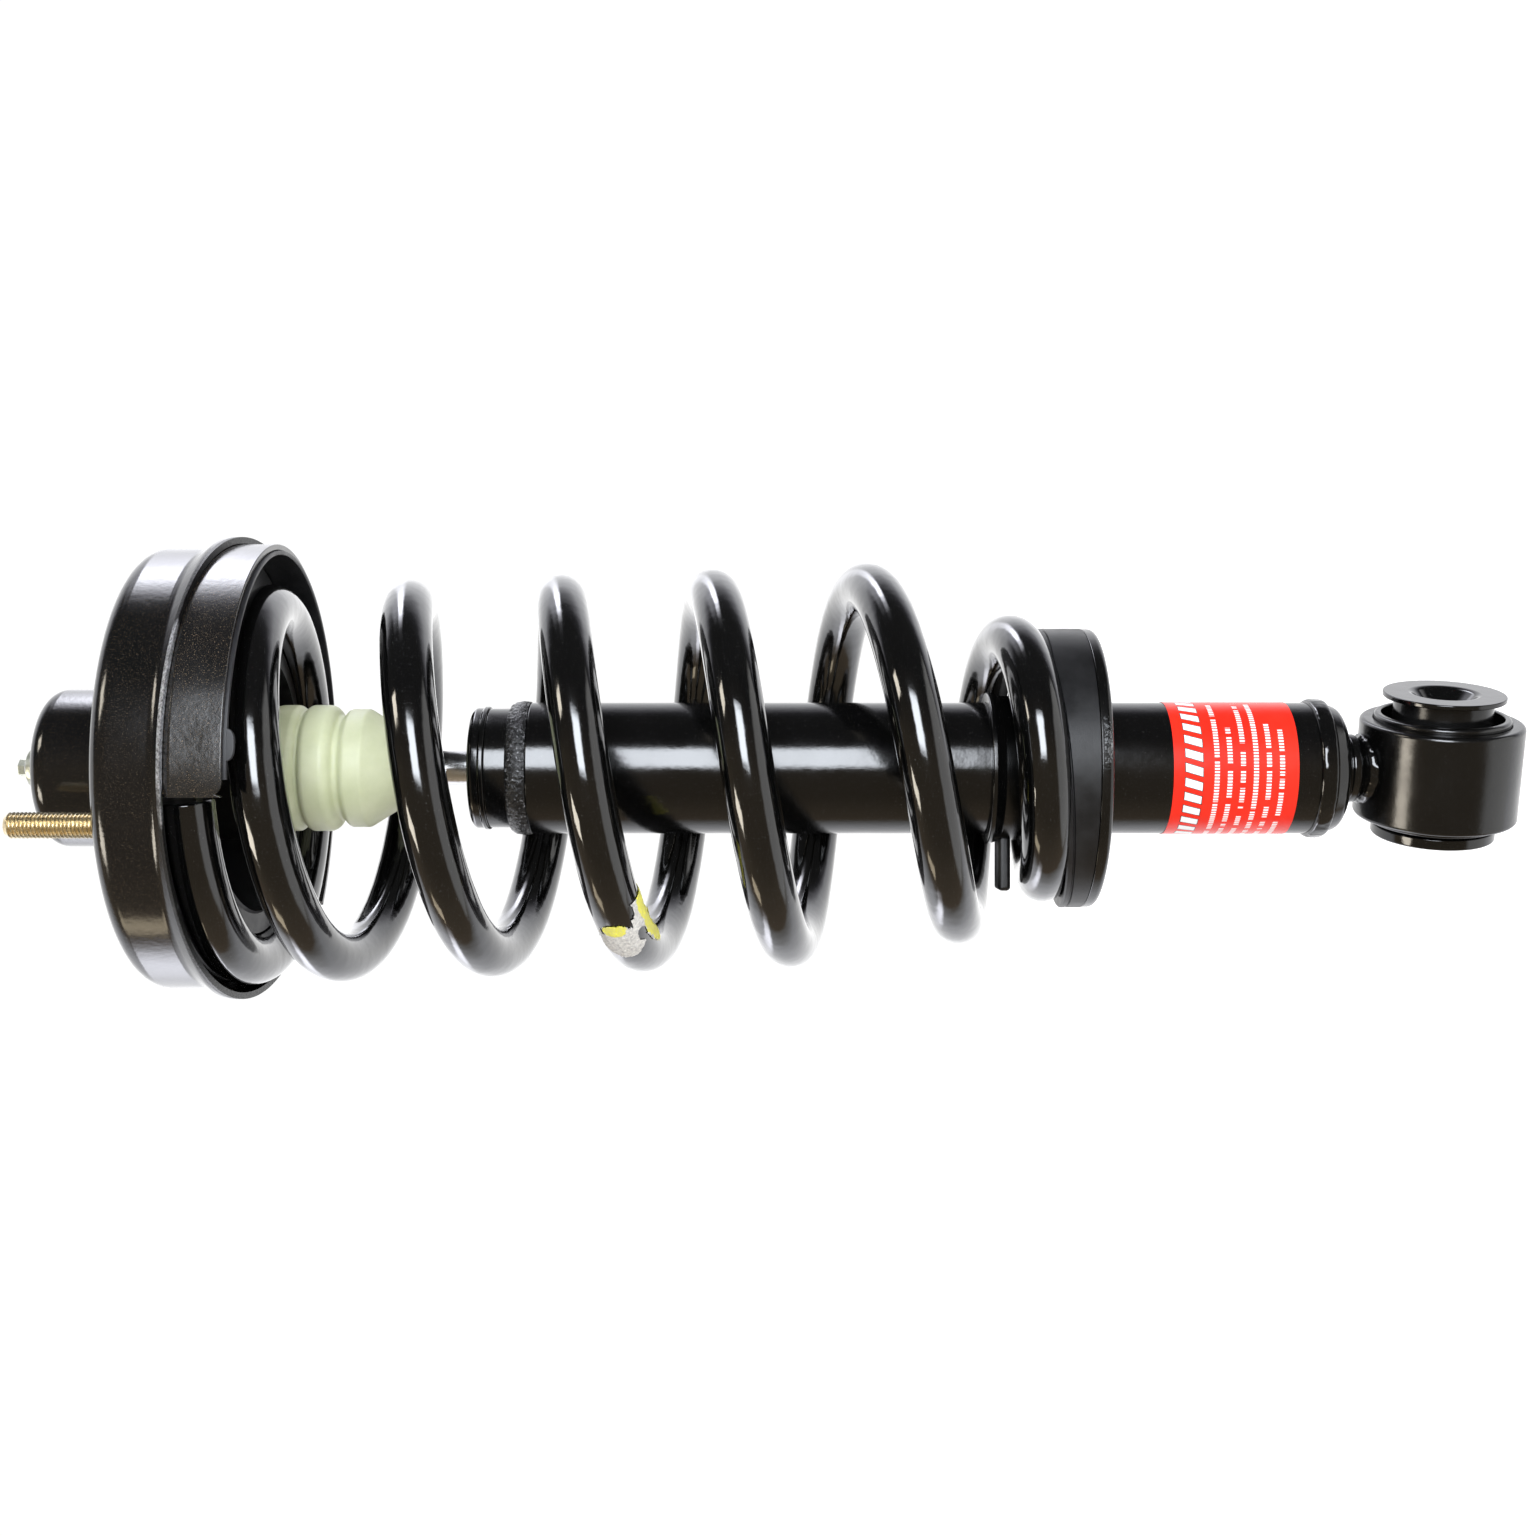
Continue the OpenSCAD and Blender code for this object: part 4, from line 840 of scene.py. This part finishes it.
rod_r = 7
stem_r = 5.0
stem_pitch = 1.25
stem_rows = [(stem_r, 5.8 + k * 0.15) for k in range(312)]
rod = turned([(0, -237.6), (4.5, -237.6), (5.5, -236.6), (5.5, -204.4), (rod_r, -204.4),
              (rod_r, 4.4), (6.4, 5), (stem_r, 5)]
             + stem_rows + [(4.85, 52.7), (4.2, 53.5), (0, 53.5)], steps=64)
add_thread(rod, stem_r, stem_pitch, 8, 52.6)
finished("piston_rod_bar", rod, [chrome], "upper_mount", "chrome", "piston_rod", sharp=25)
tip_r, tip_h, tip_middle = 3.7, 3.2, 55.1
tip = bmesh.new()
bmesh.ops.create_cone(tip, cap_ends=True, segments=6, radius1=tip_r * MM, radius2=tip_r * MM,
                      depth=tip_h * MM, matrix=Matrix.Translation((0, 0, tip_middle * MM)))
rounded(tip, tip.edges[:], 0.35, 2)
finished("rod_tip_hexagon", tip, [bright_zinc], "upper_mount", "bright_zinc", sharp=25)

# ---- Piston and its valves ----
# A machined piston with a low-friction band, a spring-loaded check plate above it, a
# shim stack and a nut below it, and a rubber bumper that ends the rebound stroke.

oiled_steel = plated("oiled_steel", (0.30, 0.30, 0.31), (0.42, 0.42, 0.42), 0.24, 200)
refinish(oiled_steel, "piston", "piston_check_plate", "check_plate_stop", "rebound_shims",
         "piston_nut", "rebound_stop")
refinish(soft_rubber("seal_plastic", (0.045, 0.036, 0.030), 0.38), "piston_band")
refinish(mould_rubber, "rebound_bumper")

# ---- Damper tubes ----
# The reserve tube with its rolled-on cap, and the larger sleeve tube welded below it.
# Both are drawn steel, painted together in thin gloss black that shows the tube's grain.


def tube_paint(name, rough_low, rough_high, ripple):
    """Thin gloss black paint on drawn steel: soft ripples along it, fine grain and dust."""
    material, shader, place = new_finish(name, (0.006, 0.006, 0.0065), rough_low, specular=0.6)
    grain = add_noise(place, 900, 3.0, 0.6, stretch=(1.0, 1.0, 0.3))
    cloud = add_noise(place, 60, 4.0, 0.6)
    dust = add_noise(place, 2600, 2.0, 0.5)
    feed(shader, "Roughness", mapped(cloud, 0.3, 0.7, rough_low, rough_high))
    specks = add_ramp(dust, [(0.0, 0.0012), (0.72, 0.002), (0.76, (0.10, 0.095, 0.09))])
    feed(shader, "Base Color", specks)
    add_bumps(shader, [(cloud, ripple, 0.3), (grain, 0.00004, 0.4)])
    return material


tube_black = tube_paint("tube_black", 0.10, 0.18, 0.0005)
reserve_r = 24.1
tube_end = -466
cap_r = 24.3
cap_lip_r = 24.9
cap_top = -127.3
cap_edge = -134.0
cap = turned([(8.2, cap_top, 0.4), (cap_r, cap_top, 4.5), (cap_r, cap_edge + 2.4, 0.3),
              (cap_lip_r, cap_edge + 1.7, 0.4), (cap_lip_r, cap_edge, 0.6), (21.5, cap_edge),
              (21.5, -131.8), (19, -129.8), (8.2, -129.8)], arc_steps=8)
finished("damper_cap", cap, [tube_black], "strut_body", "black_paint", "top_cap")
reserve = turned([(reserve_r, cap_edge, 0.4), (reserve_r, tube_end), (21.5, tube_end),
                  (21.5, cap_edge)])
finished("reserve_tube_drawn", reserve, [tube_black], "strut_body", "black_paint", "reserve_tube")
sleeve_r = 26.5
sleeve_top = -150.6
sleeve = turned([(sleeve_r, sleeve_top, 0.5), (sleeve_r, tube_end), (24.2, tube_end),
                 (24.2, sleeve_top)])
finished("sleeve_tube_drawn", sleeve, [tube_black], "strut_body", "black_paint", "sleeve_tube")


def weld_bead(corners, steps):
    """Spins the outline of a weld bead, with rows close enough together for its lumps."""
    bm = turned(corners, steps=steps)
    bmesh.ops.subdivide_edges(bm, edges=bm.edges[:], cuts=1, use_grid_fill=True)
    return bm


def lumpy(bm, height, lump, middle_r):
    """Lets a weld bead rise and sink by a height, in lumps of a size, both in millimetres."""
    for v in bm.verts:
        if v.co.xy.length > middle_r * MM:
            rise = noise.noise(v.co / (lump * MM)) + 0.5 * noise.noise(v.co / (lump * 0.4 * MM))
            v.co.xy *= 1 + rise * height * MM / v.co.xy.length


weld_scale, shader, place = new_finish("weld_scale", (0.05, 0.05, 0.055), 0.22, metallic=0.35,
                                       specular=0.6)
spatter = add_noise(place, 750, 4.0, 0.7)
scale = add_ramp(spatter, [(0.40, 0.006), (0.58, 0.02), (0.72, (0.30, 0.30, 0.31))])
feed(shader, "Base Color", scale)
add_bumps(shader, [(spatter, 0.0006, 0.7)])
upper_bead = weld_bead([(reserve_r, -150.4), (26.6, -150.4), (26.9, -149), (27.0, -147.6),
                        (26.8, -146), (26.4, -144.6), (25.9, -143.6), (25.3, -142.8),
                        (reserve_r, -142.3)], steps=300)
lumpy(upper_bead, 0.30, 1.4, 24.4)
finished("upper_weld_bead", upper_bead, [weld_scale], "strut_body", "black_paint", "upper_weld",
         sharp=60)

# ---- Inside the damper ----
# The guide with its bronze bush and seal close the top, the pressure tube stands on the
# base valve, and the base valve's check plate lets oil back in.

refinish(oiled_steel, "rod_guide", "pressure_tube", "base_valve", "base_check_plate",
         "base_valve_bolt")
refinish(plated("lined_bronze", (0.40, 0.27, 0.13), (0.50, 0.36, 0.20), 0.30, 300), "guide_bush")
refinish(mould_rubber, "rod_seal")

# ---- Lower spring seat ----
# A collar welded on the sleeve tube, with a flared edge and a bent stop tab, carries a
# shallow pressed dish. The dish's black edge carries a painted glint: grey metal spots on one side.

seat_black = tube_paint("seat_black", 0.12, 0.24, 0.0004)
seat_low = -376.6
collar_bore_r = 26.55
collar = turned([(collar_bore_r, seat_low), (29.2, seat_low), (29.2, -339, 2), (30.6, -335.6, 1),
                 (30.6, -333.8, 0.6), (collar_bore_r, -333.8, 0.4)], arc_steps=5)
finished("seat_collar_flared", collar, [seat_black], "strut_body", "black_paint", "seat_collar")
tab_black = satin_black("tab_matt_black", 0.30, 0.42, 0.02)
tab_size = (22, 14, 5)
stop_tab = bmesh.new()
bmesh.ops.create_cube(stop_tab, size=1, matrix=Matrix.Rotation(math.radians(-75), 4, "Z")
                      @ Matrix.Translation(Vector((38.4, 0, -340.9)) * MM)
                      @ Matrix.Diagonal((*(length * MM for length in tab_size), 1)))
rounded(stop_tab, stop_tab.edges[:], 1.6, 5)
finished("seat_stop_tab", stop_tab, [tab_black], "strut_body", "black_paint")

dish_r = 56.1
dish_rim = -371.5
dish_floor = -374
dish = turned([(29.25, seat_low, 0.6), (dish_r, seat_low, 3.4), (dish_r, dish_rim, 0.5),
               (53.5, dish_rim, 0.5), (53.5, dish_floor, 0.8), (29.25, dish_floor, 0.6)],
              steps=192, arc_steps=6)


def where_all(first, *others):
    """The product of some masks: 1 where every one of them is 1."""
    for mask in others:
        first = calc("MULTIPLY", first, mask)
    return first


dish_black = tube_paint("dish_black", 0.12, 0.24, 0.0004)
shader = dish_black.node_tree.nodes["Principled BSDF"]
place = add_node(dish_black.node_tree, "TexCoord").outputs["Object"]
# Painted glint: grey metal spots on the dish's rounded rim edge, on one side only.
rim_glint_side = 25
on_edge = mapped(facing_of(place, outward(rim_glint_side)), 0.0551, 0.0558)
low_down = mapped(facing_of(place, (0, 0, 1)), -0.3724, -0.3730)
rim_glint_spots = mapped(add_noise(place, 800, 4.0, 0.75), 0.50, 0.60)
rim_glint = where_all(on_edge, low_down, rim_glint_spots)
paint = shader.inputs["Base Color"].links[0].from_socket
feed(shader, "Base Color", mixed(rim_glint, paint, (0.30, 0.31, 0.32, 1)))
feed(shader, "Metallic", rim_glint)
finished("seat_dish_pressed", dish, [dish_black], "strut_body", "black_paint", "seat_dish")

# ---- Label ----
# A thin printed film glued round the sleeve tube: orange-red with a row of slanted white
# bars and rows of fine white ticks. It carries no words.

label_r = 26.7
label_t = 0.1
label_top = -404.8
label_len = 49.0
label_sweep = 250
bars_down, bars_half, bars_pitch, bars_gap = 8.0, 3.7, 5.8, 0.95
rows_top, rows_low, row_pitch, row_len, row_count = 15.4, 46.0, 5.1, 46.0, 6
tick_pitch = 1.25

label_film, shader, place = new_finish("label_film", (0.74, 0.016, 0.004), 0.24, specular=0.4)
across, along, up = add_node(place.id_data, "SeparateXYZ", {0: place}).outputs
round_it = calc("MULTIPLY", calc("ARCTAN2", along, across), label_r)
down_it = calc("SUBTRACT", label_top, calc("DIVIDE", up, MM))
slanted = calc("ADD", round_it, calc("MULTIPLY", down_it, 0.30))


def off_by(value, middle):
    """How far a value is from a middle one, either way."""
    return calc("ABSOLUTE", calc("SUBTRACT", value, middle))


def bars(inset):
    """Mask of the slanted bars, each drawn in from its outline by an inset in millimetres."""
    along = calc("GREATER_THAN", calc("PINGPONG", slanted, bars_pitch / 2), bars_gap + inset)
    return where_all(along, calc("LESS_THAN", off_by(down_it, bars_down), bars_half - inset))


row = calc("DIVIDE", calc("SUBTRACT", down_it, rows_top), row_pitch)
row_number = calc("FLOOR", row)
row_end = add_ramp(calc("DIVIDE", row_number, row_count),
                   [(0.0, 0.86), (0.10, 0.52), (0.27, 0.90), (0.44, 0.88), (0.60, 0.56),
                    (0.77, 0.50)], "CONSTANT")
in_row = where_all(calc("LESS_THAN", off_by(calc("FRACT", row), 0.3), 0.19),
                   calc("GREATER_THAN", down_it, rows_top), calc("LESS_THAN", down_it, rows_low),
                   calc("LESS_THAN", round_it, calc("MULTIPLY", row_end, row_len)))
mark_place = add_node(place.id_data, "CombineXYZ", {
    0: calc("MULTIPLY", round_it, 0.22), 1: calc("MULTIPLY", row_number, 7.3)})
group = add_noise(mark_place.outputs[0], 1.0, 1.0)
tick = calc("FRACT", calc("DIVIDE", round_it, tick_pitch))
ticks = where_all(in_row, calc("LESS_THAN", tick, 0.60), calc("GREATER_THAN", group, 0.40))
print_tone = add_noise(place, 40, 3.0, 0.5)
ground = add_ramp(print_tone, [(0.3, (0.71, 0.013, 0.003)), (0.7, (0.78, 0.022, 0.006))])
outlined = mixed(bars(0.0), ground, (0.012, 0.010, 0.010, 1))
barred = mixed(bars(0.30), outlined, (0.80, 0.80, 0.80, 1))
feed(shader, "Base Color", mixed(ticks, barred, (0.82, 0.80, 0.79, 1)))
add_bumps(shader, [(add_noise(place, 160, 3.0, 0.6), 0.0003, 0.25)])
label = turned([(label_r - label_t, label_top), (label_r, label_top),
                (label_r, label_top - label_len), (label_r - label_t, label_top - label_len)],
               steps=200, first=camera_side - label_sweep / 2, sweep=label_sweep)
long_edges = [e for e in label.edges if abs(e.verts[0].co.z - e.verts[1].co.z) > 0.03]
bmesh.ops.subdivide_edges(label, edges=long_edges, cuts=12, use_grid_fill=True)
finished("tube_label", label, [label_film], "strut_body", "label_film", "product_label")

# ---- Base cap and its weld ----
# A pressed steel dome closes the lower end of both tubes. One smooth bead of weld runs
# round it, and both are painted with the tubes.

bead_black = tube_paint("bead_black", 0.08, 0.14, 0.0006)
smooth_bead = weld_bead([(sleeve_r, -469.4), (27.6, -469.2), (28.0, -468.2), (28.1, -466.6),
                         (28.1, -465.2), (27.9, -463.8), (27.3, -462.9), (sleeve_r, -462.7)],
                        steps=240)
lumpy(smooth_bead, 0.20, 5.0, 26.7)
finished("lower_weld_bead", smooth_bead, [bead_black], "strut_body", "black_paint", "lower_weld",
         sharp=60)
dome_low = -479
dome = turned([(0, dome_low), (14.5, dome_low, 6), (24.4, -474.8, 5), (26.4, -469.8, 1.5),
               (26.4, -466.1), (21.4, -466.1), (21.4, -461), (0, -461)], arc_steps=8)
finished("base_cap_dome", dome, [bead_black], "strut_body", "black_paint", "base_cap")

# ---- Lower eye and its neck ----
# A forged ring welded on a short neck below the dome. The bead climbs round the ring's
# curve, and the whole is painted gloss black.

eye_z = -517.2
eye_r = 31.9
eye_bore_r = 26.5
eye_half = 20
neck_r = 10.3
neck_low = -489.5
saddle_top = -483.0
neck = turned([(0, dome_low), (13.8, dome_low, 1.3), (13.8, -483, 1.3), (neck_r, -483.4, 0.6),
               (neck_r, neck_low), (0, neck_low)], arc_steps=5)
finished("eye_neck_forged", neck, [bead_black], "strut_body", "black_paint", "eye_neck")
saddle = weld_bead([(neck_r, -486.2), (14.3, -486.2), (14.4, -485.2), (13.7, -484.3),
                    (12.2, -483.7), (10.9, -483.1), (neck_r, saddle_top)], steps=120)
for v in saddle.verts:
    drop = math.sqrt(eye_r ** 2 - (v.co.x / MM) ** 2) - eye_r
    v.co.z += drop * min(1, max(0, (saddle_top - v.co.z / MM) / 2)) * MM
lumpy(saddle, 0.55, 3.2, 10.6)
finished("neck_weld_saddle", saddle, [bead_black], "strut_body", "black_paint", "neck_weld",
         sharp=60)

on_eye = Matrix.Translation((0, 0, eye_z * MM)) @ Matrix.Rotation(math.radians(-90), 4, "X")


def turned_on_eye(corners, steps=128, arc_steps=4):
    """Spins an outline about the eye's bore, with height measured along it from its middle."""
    bm = turned(corners, steps, arc_steps)
    bmesh.ops.transform(bm, matrix=on_eye, verts=bm.verts)
    return bm


eye_black = tube_paint("eye_black", 0.16, 0.26, 0.0006)
ring = turned_on_eye([(eye_bore_r, -eye_half, 0.5), (eye_r, -eye_half, 1.8), (eye_r, eye_half, 1.8),
                      (eye_bore_r, eye_half, 0.8)], steps=160, arc_steps=5)
finished("eye_ring_forged", ring, [eye_black], "strut_body", "black_paint", "eye_ring")

# ---- Lower bushing ----
# A steel shell pressed in the eye, rubber bonded in it, and an inner sleeve with a flange
# and an end washer that the fork clamps. The bolt passes through a funnel in the flange.

shell = turned_on_eye([(26.45, -22.3, 2.0), (26.45, 22.3, 2.0), (23.7, 22.3, 0.5),
                       (23.7, -22.3, 0.5)], steps=160, arc_steps=6)
finished("bushing_shell", shell, [eye_black], "strut_body", "black_paint", "bush_shell")
bush_compound = soft_rubber("bush_compound", (0.003, 0.003, 0.003), 0.16)
sleeve_outer_r = 12.05
bush_body = turned_on_eye([(sleeve_outer_r, -23.0), (19.3, -23.0, 0.5), (19.3, -14, 2.5),
                           (23.65, -14), (23.65, 14), (19.3, 14, 2.5), (19.3, 28.9, 0.5),
                           (sleeve_outer_r, 28.9)], arc_steps=6)
finished("bushing_rubber", bush_body, [bush_compound], "strut_body", "rubber", "bush_rubber")
bolt_bore_r = 7.1
left_face, right_face = -27.8, 31.2
core = turned_on_eye([(bolt_bore_r, left_face, 0.5), (12, left_face, 0.4), (12, 29.2),
                      (23.8, 29.2, 0.5), (23.8, right_face, 0.5), (12.9, right_face, 3.4),
                      (8.4, 26.4, 1.8), (bolt_bore_r, 25.4, 0.6)], arc_steps=8)
flange_black = tube_paint("flange_black", 0.07, 0.13, 0.0003)
finished("bushing_core", core, [flange_black], "bush_core", "black_paint", "bush_sleeve")
end_plate = turned_on_eye([(sleeve_outer_r, left_face, 0.3), (24.2, left_face, 0.9),
                           (24.2, -23.3, 0.6), (sleeve_outer_r, -23.3, 0.3)])
finished("bushing_end_plate", end_plate, [flange_black], "bush_core", "black_paint",
         "bush_end_washer")
